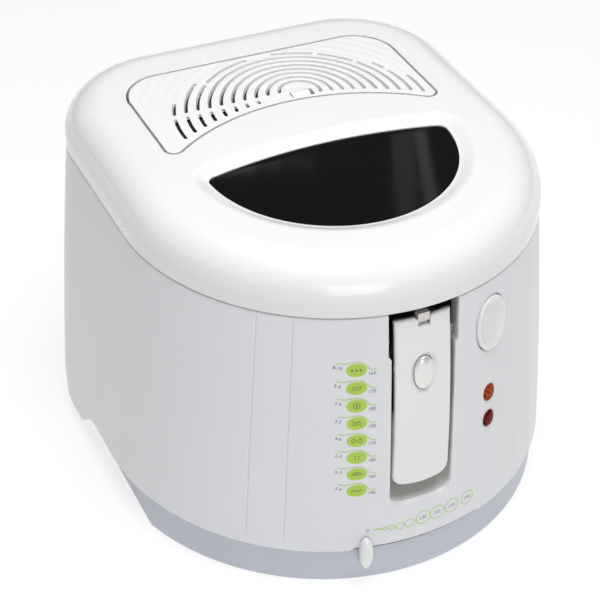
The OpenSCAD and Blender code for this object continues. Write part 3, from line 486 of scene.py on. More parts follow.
def recessPatch(b, grid, patch, angles, rows):
    i0, i1, j0, j1 = patch
    turnRow = next(j for j, v in enumerate(rows) if v >= 75)
    sideRows = [rows[j] for j in range(j1, turnRow - 1, -1)]
    loop = gridPath((i0, j1), (i0, j0), (i1, j0), (i1, j1)) + [(i1, j1)]
    below = len(loop) - 1 - 2 * (len(sideRows) - 1)
    border = [(angles[i], rows[j]) for i, j in loop]
    ids = [grid[k] for k in loop]
    rim = bodyDims["rimZ"]

    def place(path, depth, back):
        out = []
        for x, z in path:
            p = bodyChart(("arc", chartAngle(x, min(z, rim)), 0), z)
            y = p[1] + depth
            # the upper part runs back further, where the folded handle's top goes
            far = mix(recess["back"], recess["deepBack"], smooth((p[2] - 163) / 6))
            out.append((x, mix(y, -far, back), p[2]))
        return out

    edge = recess["edge"]
    lip = [(chartAngle(x, min(z, rim)), z) for x, z in recessPath(edge, 0, sideRows, below)]
    mid = [between(p, q, 0.5) for p, q in zip(border, lip)]
    ids = b.extend(ids, [bodyChart(("arc", c[0], 0), c[1]) for c in mid], False)
    top = next(k for k, (x, z) in enumerate(recessPath(0, 0, sideRows, below)) if z <= rim)
    for grow, depth, back, lift in ((edge, 0, 0, 0), (edge * 0.5, edge * 0.14, 0, 0),
                                    (edge * 0.14, edge * 0.5, 0, 0.1), (0, edge, 0, 0.3), (0, 3, 0, 1.2),
                                    (0, 6, 0, 2.6), (0, 9.5, 0, 5), (-0.2, 0, 0.7, 8.5), (-0.8, 0, 0.88, 12),
                                    (-2, 0, 0.97, 16), (-4, 0, 1, 20)):
        nextIds = b.ring(place(recessPath(grow, lift, sideRows, below), depth, back))
        deep = depth == 0 and back > 0
        keep = slice(None) if depth == 0 and back == 0 else slice(top, len(ids) - top)
        a, c = ids[keep], nextIds[keep]
        for k in range(len(a) - 1):
            # slot 2 is the recess's painted shade grey, on faces sunk more than 3 mm; at the back, slot 1 paints faces
            # above the notch black as shade
            high = min(b.verts[a[k]][2], b.verts[a[k + 1]][2]) > recess["notchZ"]
            b.face([a[k], a[k + 1], c[k + 1], c[k]], (1 if high else 2) if deep else 2 if depth > 3 else 0)
        ids = nextIds
    # the back is closed in painted shade: black above the notch, grey below
    for k in range(top, len(ids) // 2):
        m = len(ids) - 1 - k
        b.face([ids[k], ids[k + 1], ids[m - 1], ids[m]], 1 if b.verts[ids[k]][2] > recess["notchZ"] else 2)


bodySkin()
print("body skin made")


# lid: crown, flat top, soft dish round the window, seat of the filter cover
lidDims = {"r": 134.9, "corner": 71.4, "side": 93.9, "low": 198.8, "edgeTop": 206.8, "top": 230.8,
           "crownW": 26, "crownH": 24, "wall": 2.5}
window = {"r": 82, "y": -1.5, "rearR": 325, "rearApex": 8.5, "round": 7, "dishW": 11, "dishDepth": 3.4}
cover = {"half": 94.5, "corner": 28, "rear": 120.3, "apex": 56.5, "front": 20, "round": 6, "gap": 0.8,
         "outer": (82.3, 5, 44.5), "inner": (13.5, 12.3, 65), "rings": 10, "margin": 4.5, "slotW": 2.3,
         "ribY": 66.3, "ribHalf": 1.3, "tab": (4.6, 20.4, 58.3, 65.8), "tabClear": (3, 22.5, 70)}


def lidPoint(col, inset, z):
    return outlinePoint(col, inset, z, lidDims["r"], lidDims["corner"], lidDims["side"])


def arcPoints(x, y, r, a0, a1, n):
    return [(x + r * cosD(a), y + r * sinD(a)) for a in steps(a0, a1, n)[:-1]]


def windowLoop(grow):
    w = window
    r1, r2 = w["r"] - w["round"], w["rearR"] - w["round"]
    rearY = w["rearApex"] - w["rearR"]
    y = (r1 * r1 - r2 * r2 + rearY * rearY - w["y"] * w["y"]) / (2 * (rearY - w["y"]))
    x = math.sqrt(r1 * r1 - (y - w["y"]) ** 2)
    a = math.degrees(math.atan2(y - w["y"], x))
    c = math.degrees(math.atan2(y - rearY, x))
    n = w["round"] + grow
    return (arcPoints(0, w["y"], w["r"] + grow, 180 - a, 360 + a, 90) + arcPoints(x, y, n, a, c, 12)
            + arcPoints(0, rearY, w["rearR"] + grow, c, 180 - c, 30) + arcPoints(-x, y, n, 180 - c, 180 - a, 12))


def coverLoop(grow):
    c = cover
    sag = c["apex"] - c["front"]
    r = (c["half"] ** 2 + sag * sag) / (2 * sag)
    y = c["apex"] - r
    roundY = y + math.sqrt((r + c["round"]) ** 2 - (c["half"] - c["round"]) ** 2)
    a = math.degrees(math.atan2(roundY - y, c["half"] - c["round"]))
    x, q = c["half"] - c["round"], c["round"] + grow
    xr, yr = c["half"] - c["corner"], c["rear"] - c["corner"]
    return (arcPoints(0, y, r - grow, 180 - a, a, 60) + arcPoints(x, roundY, q, 180 + a, 360, 14)
            + arcPoints(xr, yr, c["corner"] + grow, 0, 90, 18) + arcPoints(-xr, yr, c["corner"] + grow, 90, 180, 18)
            + arcPoints(-x, roundY, q, 180, 360 - a, 14))


def inside(p, loop):
    hit = False
    for k, (x1, y1) in enumerate(loop):
        x0, y0 = loop[k - 1]
        if (y0 > p[1]) != (y1 > p[1]) and p[0] < x0 + (p[1] - y0) * (x1 - x0) / (y1 - y0):
            hit = not hit
    return hit


def flatFill(b, outer, holes, z):
    # triangles between an outer loop and its holes
    points, edges = [], []
    for loop in [outer] + holes:
        first = len(points)
        points += [Vector(p) for p in loop]
        edges += [(first + i, first + (i + 1) % len(loop)) for i in range(len(loop))]
    verts, _, faces, _, _, _ = delaunay_2d_cdt(points, edges, [], 0, 1e-5)
    ids = b.ring([(v[0], v[1], z) for v in verts])
    for f in faces:
        m = sum((verts[i] for i in f), Vector((0, 0))) / len(f)
        if inside(m, outer) and not any(inside(m, h) for h in holes):
            b.face([ids[i] for i in f])


def crownProfile():
    # half section as (inset, height): down inside the crown, round the lower edge and up to the flat top
    d = lidDims
    low, edge = d["low"], d["edgeTop"]
    line = [(7.3, edge + 7), (3.9, edge + 6.8), (2.8, edge + 3.6), (d["wall"], edge), (d["wall"], low), (1.1, low),
            (0.5, low + 0.1), (0.12, low + 0.5), (0, low + 1.1), (0, mix(low, edge, 0.5))]
    return line + [(d["crownW"] * (1 - cosD(q)), edge + d["crownH"] * sinD(q)) for q in range(0, 91, 5)]


def lidPiece():
    top = lidDims["top"]
    cols = wallColumns(range(-90, 91, 2), 6, 24, 6)
    b = Build()
    b.sweep([[lidPoint(c, inset, z) for c in cols] for inset, z in crownProfile()])
    outer = [lidPoint(c, lidDims["crownW"], top)[:2] for c in cols]
    dish = windowLoop(window["dishW"])
    seat = coverLoop(cover["gap"] + 0.35)
    flatFill(b, outer, [dish, seat], top)
    rings = []
    for t in steps(0, 1, 12):
        z = top - window["dishDepth"] * smooth(t)
        rings.append(atHeight(windowLoop(window["dishW"] * (1 - t) ** 1.15), z))
    for grow, z in ((-0.25, -0.1), (-0.4, -0.45), (-0.4, -4)):
        rings.append(atHeight(windowLoop(grow), top - window["dishDepth"] + z))
    b.sweep(rings)
    b.sweep([atHeight(coverLoop(cover["gap"] + g), top + z)
             for g, z in ((0.35, 0), (0.12, -0.1), (0, -0.4), (0, -9))])
    lid = b.make("lid_skin", "lid", "lid_white")
    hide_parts("lid_shell")


def glassPiece():
    z = lidDims["top"] - window["dishDepth"] - 0.9
    b = Build()
    ids = b.sweep([[(x * s, (y - 2) * s + 2 if s < 1 else y, z + 0.35 * (1 - s * s)) for x, y in windowLoop(2.4)]
                   for s in (1, 0.97, 0.9, 0.8, 0.65, 0.45, 0.25)])
    b.face(ids[-1])
    under = b.ring(atHeight(windowLoop(2.4), z - 3))
    b.bridge(under, ids[0])
    b.face(under)
    glass = b.make("window_pane", "lid", "window_glass")
    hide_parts("window_glass")


tree, shader = nodeSet("window_glass")
noise = addNode(tree, "TexNoise", {"Scale": 20}, {"Vector": objectSpace(tree)})["Fac"]
base = addRamp(tree, noise, ((0, (0.002, 0.002, 0.002, 1)), (1, (0.004, 0.004, 0.0042, 1))))
smear = addNode(tree, "MapRange", {"To Min": 0.03, "To Max": 0.09}, {"Value": noise})["Result"]
wire(tree, shader, {"Specular IOR Level": 0.5}, {"Base Color": base, "Roughness": smear})
lidPiece()
glassPiece()
print("lid made")


# filter cover: louvred ring slots, faint ridges, finger tab
def ringAt(i):
    # nested circles whose centres glide back towards the finger tab: radius and centre
    t = i / (cover["rings"] - 1)
    return tuple(mix(p, q, t) for p, q in zip(cover["outer"], cover["inner"]))


def slotSpans():
    c = cover
    limit = coverLoop(-c["margin"])
    # the two outer rings are open only at the left and right ends; narrow ribs cross the third
    closed = {0: ((9, 153),), 1: ((16.5, 18.5), (27, 134)), 2: ((33, 34.5), (57, 58.5), (97, 98.5), (133.5, 135.5))}
    left, right, high = c["tabClear"]
    spans = []
    for i in range(c["rings"]):
        r, cx, cy = ringAt(i)
        run = []
        for q in range(-800, 2601, 5):
            a = q / 10
            x, y = cx + r * cosD(a), cy + r * sinD(a)
            ok = inside((x, y), limit) and not any(a0 < a < a1 for a0, a1 in closed.get(i, ()))
            # one straight rib on the left, and the finger tab's place stays whole
            if abs(y - c["ribY"]) < c["ribHalf"] and x < left or left < x < right and y < high:
                ok = False
            if ok:
                run.append(a)
            elif run:
                spans.append((i, run[0], run[-1]))
                run = []
        if run:
            spans.append((i, run[0], run[-1]))
    return [(i, a0, a1) for i, a0, a1 in spans if (a1 - a0) * math.radians(1) * ringAt(i)[0] > 4.5]


def slotLoop(span, grow, lean):
    i, a0, a1 = span
    r, cx, cy = ringAt(i)
    half = cover["slotW"] / 2 + grow
    end = math.degrees((cover["slotW"] / 2 + 0.4) / r)
    n = max(4, int((a1 - a0) * r / 160))
    out = arcPoints(cx, cy, r + half - lean, a0 + end, a1 - end, n)

    def cap(a, turn):
        return arcPoints(cx + (r - lean) * cosD(a), cy + (r - lean) * sinD(a), half, a + turn, a + turn + 180, 6)

    out += cap(a1 - end, 0)
    out += arcPoints(cx, cy, r - half - lean, a1 - end, a0 + end, n)
    out += cap(a0 + end, 180)
    return out


def roundRect(x0, x1, y0, y1, r):
    corners = ((x1 - r, y1 - r, 0), (x0 + r, y1 - r, 90), (x0 + r, y0 + r, 180), (x1 - r, y0 + r, 270))
    return [p for x, y, a in corners for p in arcPoints(x, y, r, a, a + 90, 5)]


def coverPiece():
    top = lidDims["top"]
    spans = slotSpans()
    b = Build()
    g = -cover["gap"]
    x0, x1, y0, y1 = cover["tab"]
    tabHole = roundRect(x0, x1, y0, y1, 0.9)
    flatFill(b, coverLoop(g - 0.35), [slotLoop(s, 0.25, 0) for s in spans] + [tabHole], top)
    b.sweep([atHeight(coverLoop(g + d), top + z) for d, z in ((-0.35, 0), (-0.12, -0.1), (0, -0.4), (0, -6))])
    for s in spans:
        b.sweep([atHeight(slotLoop(s, grow, lean), top + z)
                 for grow, lean, z in ((0.25, 0, 0), (0.07, 0, -0.08), (0, 0.03, -0.3), (0, 0.8, -2.5))])
    b.sweep([atHeight(tabHole, top + z) for z in (0, -2.6)])
    # slanted finger panel, with a gap at each side
    x0, x1, y0, y1 = x0 + 1.7, x1 - 1.7, y0 - 0.1, y1 + 0.1
    ids = b.sweep([[(x, y, top + mix(-2.5, -0.35, (y - y0) / (y1 - y0)) - drop)
                    for x, y in roundRect(x0 - e, x1 + e, y0, y1, 0.8)] for e, drop in ((0.2, 3), (0.2, 0.3), (0, 0))])
    b.face(ids[-1])
    plate = b.make("filter_grille", "filter_cover", "cover_white")
    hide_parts("filter_cover")


def addRidges(mat, cx, cy, pitch, depth):
    # low rings about one centre, laid over the grain
    tree = mat.node_tree
    shader = tree.nodes["Principled BSDF"]
    flat = addNode(tree, "Mapping", {"Location": (-cx, -cy, 0), "Scale": (1, 1, 0)}, {"Vector": objectSpace(tree)})
    length = addNode(tree, "VectorMath", {}, {0: flat["Vector"]}, "LENGTH")
    wave = addNode(tree, "Math", {1: 2 * math.pi / pitch}, {0: length["Value"]}, "MULTIPLY")
    sine = addNode(tree, "Math", {}, {0: wave["Value"]}, "SINE")
    grain = shader.inputs["Normal"].links[0].from_socket
    bump = addNode(tree, "Bump", {"Strength": 1, "Distance": depth}, {"Height": sine["Value"], "Normal": grain})
    wire(tree, shader, {}, {"Normal": bump["Normal"]})


addRidges(look["cover_white"], cover["outer"][1] / 1000, (cover["outer"][2] + arcY) / 1000, 0.0072, 0.00008)
coverPiece()
print("filter cover made")


# handle: convex cover with a moat round its button
handle = {"top": 132.9, "topZ": 191.2, "tilt": 6.4369, "len": 119.96, "halfTop": 18.4, "halfLow": 19.2, "sagR": 70,
          "edge": 1.7, "corner": 4.5, "straightTo": 104, "skin": 0.0016, "buttonDown": 38.6, "buttonW": 13.3,
          "buttonH": 22.5, "crown": 2, "bulge": 2.5}


def fromFace(x, y, z):
    # face frame to the arc's frame: +y goes in, -z runs down the face
    t = math.radians(handle["tilt"])
    return (x, -handle["top"] + y * math.cos(t) + z * math.sin(t), handle["topZ"] - y * math.sin(t) + z * math.cos(t))


def faceDepth(x, down):
    # the face bows out along its length and falls back a little at its sides
    h = handle
    return h["crown"] * (x / h["halfLow"]) ** 2 - h["bulge"] * (1 - (2 * down / h["len"] - 1) ** 2)


def handlePiece():
    h = handle
    e = h["edge"]
    b = Build()
    right = [0.08, 0.16, 0.25, 0.345, 0.42, 0.5, 0.62, 0.73, 0.85, 0.95, 1]
    us = [-u for u in reversed(right)] + [0] + right
    downs = [0, 1.5, 3.3, 5, 7.6, 12, 16, 18.6, 21, 24, 27, 30, 33.5, 37, 40.5, 44, 47, 50, 53, 55.4, 62, 70, 80, 90,
             98, 104, 108, 110, 112, 113.5, 115, 116]

    def place(u, s):
        half = mix(h["halfTop"], h["halfLow"], s / h["len"]) - e
        x = u * half
        end = h["len"] - e - (h["sagR"] - math.sqrt(h["sagR"] ** 2 - x * x))
        # rounded lower corners
        r, straight = h["corner"], h["straightTo"]
        over = abs(x) - (half - r)
        if over > 0:
            end -= r - math.sqrt(max(0, r * r - over * over))
        if s < straight:
            return x, e + s * (1 - e / straight)
        return x, straight + (s - straight) * (end - straight) / (downs[-1] - straight)

    def face(u, s):
        x, down = place(u, s)
        return fromFace(x, faceDepth(x, down), -down)

    ids = {(i, j): b.ring([face(u, s)])[0] for i, u in enumerate(us) for j, s in enumerate(downs)}
    iu = {u: i for i, u in enumerate(us)}
    n0, n1, jn = iu[-0.25], iu[0.25], downs.index(5)
    p0, p1, q0, q1 = iu[-0.73], iu[0.73], downs.index(18.6), downs.index(55.4)
    for i in range(len(us) - 1):
        for j in range(len(downs) - 1):
            notch = n0 <= i < n1 and j < jn
            patch = p0 <= i < p1 and q0 <= j < q1
            if not notch and not patch:
                b.face([ids[i, j], ids[i + 1, j], ids[i + 1, j + 1], ids[i, j + 1]])
    loop = gridLoop(p0, p1, q0, q1)
    flat = [place(us[i], downs[j]) for i, j in loop]
    ring = [ids[k] for k in loop]
    for grow, sink in ((3.6, 0), (2.8, 0.06), (2.4, 0.35), (1.9, 0.85), (1.4, 1.3), (0.9, 1.6), (0.4, 1.7), (0.4, 4)):
        out = []
        for x, down in cutFiner(flat, 2 if grow < 3 else 1):
            x, z = ovalRay(x, h["buttonDown"] - down, h["buttonW"] + 2 * grow, h["buttonH"] + 2 * grow)
            out.append(fromFace(x, faceDepth(x, h["buttonDown"] - z) + sink, z - h["buttonDown"]))
        ring = b.extend(ring, out)
    # rounded outer edge, then the side walls
    last = len(downs) - 1
    side = len(us) - 1
    edge = gridPath((0, 0), (n0, 0), (n0, jn), (n1, jn), (n1, 0), (side, 0), (side, last), (0, last), (0, 0))
    pts = [place(us[i], downs[j]) for i, j in edge]
    ring = [ids[k] for k in edge]
    normals = []
    for k, (x, s) in enumerate(pts):
        i, j = edge[k]
        nx, ns = 0, 0
        if i in (0, side):
            nx = -1 if i == 0 else 1
        if j == last:
            a, c = pts[k - 1], pts[(k + 1) % len(pts)]
            dx, ds = c[0] - a[0], c[1] - a[1]
            q = math.hypot(dx, ds)
            nx, ns = -ds / q, abs(dx / q)
            nx = -nx if x * nx < 0 else nx
        elif j == 0:
            ns = -1
        normals.append((nx, ns, i in (n0, n1) and j <= jn or (n0 <= i <= n1 and j == jn)))
    for q in (25, 50, 75, 90, None):
        out = []
        for (x, s), (nx, ns, inNotch) in zip(pts, normals):
            y = faceDepth(x, s)
            if q is None:
                off, sink = (1, 3.2 if s < 64 else mix(3.2, 8.8, smooth((s - 64) / 6)))
            else:
                off, sink = sinD(q), e * (1 - cosD(q))
            if inNotch:
                off = 0
            out.append(fromFace(x + nx * off * e, y + sink, -(s + ns * off * e)))
        ring = b.extend(ring, out)
    piece = b.make("handle_face", "handle", "lid_white")
    thick = piece.modifiers.new("thickness", "SOLIDIFY")
    thick.thickness = h["skin"]
    thick.offset = -1
    piece.modifiers.move(len(piece.modifiers) - 1, 0)
    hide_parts("handle_cover")


def handleButtonPiece():
    h = handle
    b = Build()
    down = h["buttonDown"]
    ids = b.sweep([[fromFace(x, y + faceDepth(0, down), z - down)
                    for x, z in ovalLoop(h["buttonW"] - 2 * shrink, h["buttonH"] - 2 * shrink)]
                   for shrink, y in ((0, 3), (0, 1.3), (0.12, 0.9), (0.5, 0.45), (1.1, 0.05), (2, -0.4), (3.2, -0.8),
                                     (4.6, -1.1), (5.8, -1.2))])
    b.face(ids[-1])
    b.face(ids[0])
    piece = b.make("handle_push", "handle_button", "pearl_metal")
    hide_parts("handle_button")


handlePiece()
handleButtonPiece()
print("handle made")


# lid button, lamp lenses and slider knob, each set on the round front
def onFront(a, x, z, out):
    # local x along the tangent, out is the height over the wall
    y = -math.sqrt(frontR(z) ** 2 - x * x) - out
    return turned((x, y, z), a)


def domePiece(name, body, material, cadNode, a, z0, w, h, profile, n):
    b = Build()
    ids = b.sweep([[onFront(a, x, z0 + z, out) for x, z in ovalLoop(w - 2 * s, h - 2 * s, n)] for s, out in profile])
    b.face(ids[-1])
    b.face(ids[0])
    piece = b.make(name, body, material)
    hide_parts(cadNode)


domePiece("lid_push", "lid_button", "push_white", "release_button", lidButton["angle"], lidButton["z"],
          lidButton["w"], lidButton["h"],
          ((0, -5), (0, 0.5), (0.1, 0.9), (0.45, 1.3), (1.0, 1.5), (1.6, 1.5), (2.3, 1.2), (3.0, 0.6), (3.8, -0.1),
           (5, -0.8), (6.8, -1.45), (9, -1.9), (11.5, -2.05)), 72)


def lensMaterial(name, color, deep):
    tree, shader = nodeSet(name)
    cells = addNode(tree, "TexVoronoi", {"Scale": 420}, {"Vector": objectSpace(tree)})["Distance"]
    base = addRamp(tree, cells, ((0.15, color + (1,)), (0.65, deep + (1,))))
    bump = addNode(tree, "Bump", {"Distance": 0.0002}, {"Height": cells})["Normal"]
    wire(tree, shader, {"Roughness": 0.35, "Specular IOR Level": 0.12}, {"Base Color": base, "Normal": bump})


lensMaterial("lens_red", (0.30, 0.0, 0.0), (0.07, 0.0, 0.0))
lensMaterial("lens_orange", (0.56, 0.07, 0.0), (0.18, 0.014, 0.0))
lensProfile = ((0, -3), (0, -0.2), (0.12, 0.25), (0.4, 0.6), (0.9, 0.9), (1.8, 1.15), (3, 1.3), (4.3, 1.38))
for tone in ("red", "orange"):
    domePiece("lens_" + tone, "body", "lens_" + tone, "lamp_lens_" + tone, lamps["angle"], lamps[tone],
              lamps["w"], lamps["h"], lensProfile, 48)

knob = {"angle": -14, "z": 27.4, "w": 8.5, "h": 22}
domePiece("slider_cap", "slider", "button_white", "slider_knob", knob["angle"], knob["z"], knob["w"],
          knob["h"],
          ((0, 0.9), (0, 3.6), (0.12, 4.6), (0.5, 5.5), (1.1, 6.2), (1.9, 6.7), (2.9, 6.95), (3.7, 7)), 56)
print("buttons, lamps and knob made")


# prints on the front wall: ovals with plain motifs, thin lines, numbers
prints = {"x": -42.1, "top": 163.4, "pitch": 12.557, "w": 12.4, "h": 9, "line": 0.55, "motif": 0.5, "lift": 0.05,
          "markW": 10.5, "times": ("8-10", "5-6", "7-9", "3-5", "4-6", "2-3", "5-7", "3-4"),
          "heats": ("160", "170", "180", "190", "170", "180", "160", "190"),
          "dots": ((-9.3, 42.5, 3), (-7.6, 42.4, 4.2), (-5.5, 42.2, 5.4), (-3.0, 42.6, 6.8)),
          "marks": ((0.6, 43.8, "130"), (4.5, 44.1, "150"), (8.8, 44.3, "170"), (13.6, 44.8, "190"))}


def printDisc(b, a, x0, z0, w, h, lift):
    ids = b.sweep([[onFront(a, x0 + x * s, z0 + z * s, lift) for x, z in ovalLoop(w, h, 36)] for s in (1, 0.72, 0.4)])
    b.face(ids[-1])


def printRing(b, a, z0, w, wide, lift=prints["lift"]):
    b.sweep([[onFront(a, x, z0 + z, lift) for x, z in ovalLoop(w - g, w - g, 36)] for g in (0, 2 * wide)])


def printStroke(b, a, path, wide, lift=prints["lift"]):
    # a strip of even width along (x, z) points, cut finely enough to follow the wall
    fine = [path[0]]
    for p, q in zip(path, path[1:]):
        n = max(1, math.ceil(math.dist(p, q) / 1.5))
        fine += [between(p, q, k / n) for k in range(1, n + 1)]
    sides = []
    for side in (1, -1):
        line = []
        for k, p in enumerate(fine):
            q0, q1 = fine[max(k - 1, 0)], fine[min(k + 1, len(fine) - 1)]
            d = Vector((q1[0] - q0[0], q1[1] - q0[1])).normalized() * side * wide / 2
            line.append(onFront(a, p[0] - d[1], p[1] + d[0], lift))
        sides.append(b.ring(line))
    b.bridge(sides[0], sides[1], False)


def printNumber(b, a, x0, z0, text, tall, lean=0):
    data = bpy.data.curves.new("number", "FONT")
    data.body = text
    data.resolution_u = 3
    holder = bpy.data.objects.new("number", data)
    mesh = bpy.data.meshes.new_from_object(holder)
    xs, ys = [v.co.x for v in mesh.vertices], [v.co.y for v in mesh.vertices]
    size = tall / (max(ys) - min(ys))
    ids = []
    for x, y in zip(xs, ys):
        dx, dz, _ = turned(((x - (max(xs) + min(xs)) / 2) * size, (y - (max(ys) + min(ys)) / 2) * size, 0), lean)
        ids += b.ring([onFront(a, x0 + dx, z0 + dz, prints["lift"])])
    for poly in mesh.polygons:
        b.face([ids[i] for i in poly.vertices])
    bpy.data.objects.remove(holder)
    bpy.data.curves.remove(data)
    bpy.data.meshes.remove(mesh)


def arcPath(x, z, r, a0, a1, n, squash):
    return [(x + r * cosD(t), z + r * squash * sinD(t)) for t in steps(a0, a1, n)]


def motif(b, k, a, z):
    # eight plain motifs
    lift, w = prints["lift"] * 2, prints["motif"]

    def stroke(path):
        printStroke(b, a, [(x, z + y) for x, y in path], w, lift)

    if k == 0:
        for x in (-2.6, 0, 2.6):
            printDisc(b, a, x, z, 1.6, 1.6, lift)
    elif k == 1:
        for x in (-2.2, -0.7, 0.8, 2.3):
            stroke([(x - 0.6, -1.6), (x + 0.6, 1.6)])
    elif k == 2:
        printRing(b, a, z, 4.4, w, lift)
        printDisc(b, a, 0, z, 1.6, 1.6, lift)
    elif k == 3:
        for y in (-0.9, 0.9):
            stroke([(x, y + 0.6 * math.sin(x * 1.7)) for x in steps(-3.3, 3.3, 22)])
    elif k == 4:
        for x in (-1.9, 1.9):
            stroke([(x, 1.7), (x + 1.5, 0), (x, -1.7), (x - 1.5, 0), (x, 1.7)])
    elif k == 5:
        for x, y in ((-1.1, 0.95), (1.1, 0.95), (-1.1, -0.95), (1.1, -0.95)):
            stroke([(x - 0.45, y), (x + 0.45, y)])
            stroke([(x, y - 0.45), (x, y + 0.45)])
    elif k == 6:
        for r in (1.1, 2.2, 3.3):
            stroke(arcPath(0, -1.5, r, 15, 165, 16, 0.9))
    else:
        for x in (-2.3, 0, 2.3):
            stroke([(x - 1, -1.2), (x, 1.2), (x + 1, -1.2)])


def frontPrints():
    lift = prints["lift"]
    ovals, lines, motifs, numbers = Build(), Build(), Build(), Build()
    swoop = ((-11.8, 5.5), (-9.2, 4.9), (-7, 4.7), (-4.8, 5.1), (-2.4, 5.45), (0, 5.55), (2.4, 5.2), (4.4, 4.2),
             (6.1, 2.6), (7.4, 0.9), (8.8, 0.0), (12, -0.3))
    for k in range(8):
        z = prints["top"] - k * prints["pitch"]
        a = chartAngle(prints["x"], z)
        printDisc(ovals, a, 0, z, prints["w"], prints["h"], lift)
        printStroke(lines, a, [(x, z + y) for x, y in swoop], prints["line"])
        motif(motifs, k, a, z)
        printNumber(numbers, a, -11.2, z + 2.1, prints["times"][k], 2.3, -14)
        printNumber(numbers, a, 9.6, z - 2.8, prints["heats"][k], 2.3)

    def along(angle, z):
        return frontR(z) * sinD(angle), z

    printNumber(numbers, -13.6, 0, 43.2, "0", 2.4)
    ends = [(-12.1, 43, 0)] + list(prints["dots"]) + [(q, z, prints["markW"]) for q, z, _ in prints["marks"]]
    for (q0, z0, w0), (q1, z1, w1) in zip(ends[:6], ends[1:6]):
        p, q = Vector(along(q0, z0)), Vector(along(q1, z1))
        d = (q - p).normalized()
        p, q = p + d * w0 / 2, q - d * w1 / 2
        if (q - p).dot(d) > 0.2:
            printStroke(lines, 0, [tuple(p), tuple(q)], 0.9 if w0 == 0 else 0.6)
    for q, z, w in prints["dots"]:
        printRing(lines, q, z, w, 0.5)
    for q, z, text in prints["marks"]:
        printRing(lines, q, z, prints["markW"], prints["line"])
        printNumber(numbers, q, 0, z, text, 2.5)
    for name, b, tone in (("print_ovals", ovals, "print_green"), ("print_lines", lines, "print_green"),
                          ("print_motifs", motifs, "print_motif"), ("print_numbers", numbers, "print_grey")):
        b.make(name, "body", tone, weld=0, onWall=True)


frontPrints()
print("prints made")


# wire basket inside the CAD basket's walls
basket = {"y": 18, "r": 86, "low": 57, "high": 133, "wire": 0.75, "rim": 1.4, "uprights": 60, "bend": 9}


def tube(b, path, r, ref, closed):
    # ref is the direction square to the path's own plane
    rings = []
    ref = Vector(ref)
    for k, p in enumerate(path):
        q0 = path[k - 1] if closed or k else path[0]
        q1 = path[(k + 1) % len(path)] if closed or k < len(path) - 1 else path[-1]
        across = (Vector(q1) - Vector(q0)).normalized().cross(ref)
        rings.append([Vector(p) + (across * math.cos(t) + ref * math.sin(t)) * r
                      for t in (2 * math.pi * i / 6 for i in range(6))])
    ids = b.sweep(rings)
    if closed:
        b.bridge(ids[-1], ids[0])
    else:
        b.face(ids[0])
        b.face(ids[-1])


def basketPiece():
    d = basket
    b = Build()
    w = d["wire"]

    def hoop(r, z, thick, n=96):
        tube(b, [(r * math.cos(2 * math.pi * k / n), d["y"] + r * math.sin(2 * math.pi * k / n), z) for k in range(n)],
             thick, (0, 0, 1), True)

    hoop(d["r"] - d["rim"], d["high"] - d["rim"], d["rim"])
    for z in steps(d["low"] + d["bend"] + 2, d["high"] - 10, 6):
        hoop(d["r"] - w, z, w)
    inner = d["r"] - 3 * w
    for r in (14, 30, 46, 61, inner - d["bend"]):
        hoop(r, d["low"] + w, w, 72)
    for k in range(d["uprights"]):
        a = 2 * math.pi * (k + 0.5) / d["uprights"]
        end = 14 if k % 4 == 0 else 46 if k % 2 == 0 else 61
        side = [(inner, d["high"] - d["rim"]), (inner, 110), (inner, 90)]
        side += [(inner - d["bend"] * (1 - math.cos(t)), d["low"] + 3 * w + d["bend"] * (1 - math.sin(t)))
                 for t in (math.radians(q) for q in range(0, 91, 15))]
        side += [(end, d["low"] + 3 * w)]
        across = (-math.sin(a), math.cos(a), 0)
        tube(b, [(r * math.cos(a), d["y"] + r * math.sin(a), z) for r, z in side], w, across, False)
    piece = b.make("wire_basket", "basket", "plated_wire", weld=0)
    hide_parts("basket")


basketPiece()
print("wire basket made")


# base ring with rounded edges, its white plastic coloured a darker bluish grey as painted shade
base = {"r": 148.3, "half": 140.8, "back": 146.6, "corner": 68}


def basePiece():
    flatA = math.degrees(math.asin(base["half"] / base["r"]))

    def outline(inset):
        r, half, corner = base["r"] - inset, base["half"], base["corner"]
        out = [(r * sinD(a), -r * cosD(a)) for a in steps(-flatA, flatA, 96)]
        front = len(out)
        y1 = base["back"] - corner
        out += [(half - inset, y) for y in steps(out[-1][1], y1, 10)[1:]]
        out += [(half - corner + (corner - inset) * cosD(q), y1 + (corner - inset) * sinD(q))
                for q in steps(0, 90, 20)[1:]]
        return out + [(-x, y) for x, y in reversed(out[front:])]

    b = Build()
    profile = ((4, 1.42), (2.2, 1.42), (1.4, 1.6), (0.6, 2.2), (0.15, 3), (0, 4.2), (0, 10), (0, 20), (0, 26),
               (0.15, 26.6), (0.6, 26.95), (1.2, 27), (2.5, 27), (2.5, 20))
    b.sweep([atHeight(outline(inset), z) for inset, z in profile])
    ring = b.make("base_ring", "body", "base_painted_shade_grey")


basePiece()
print("base ring made")

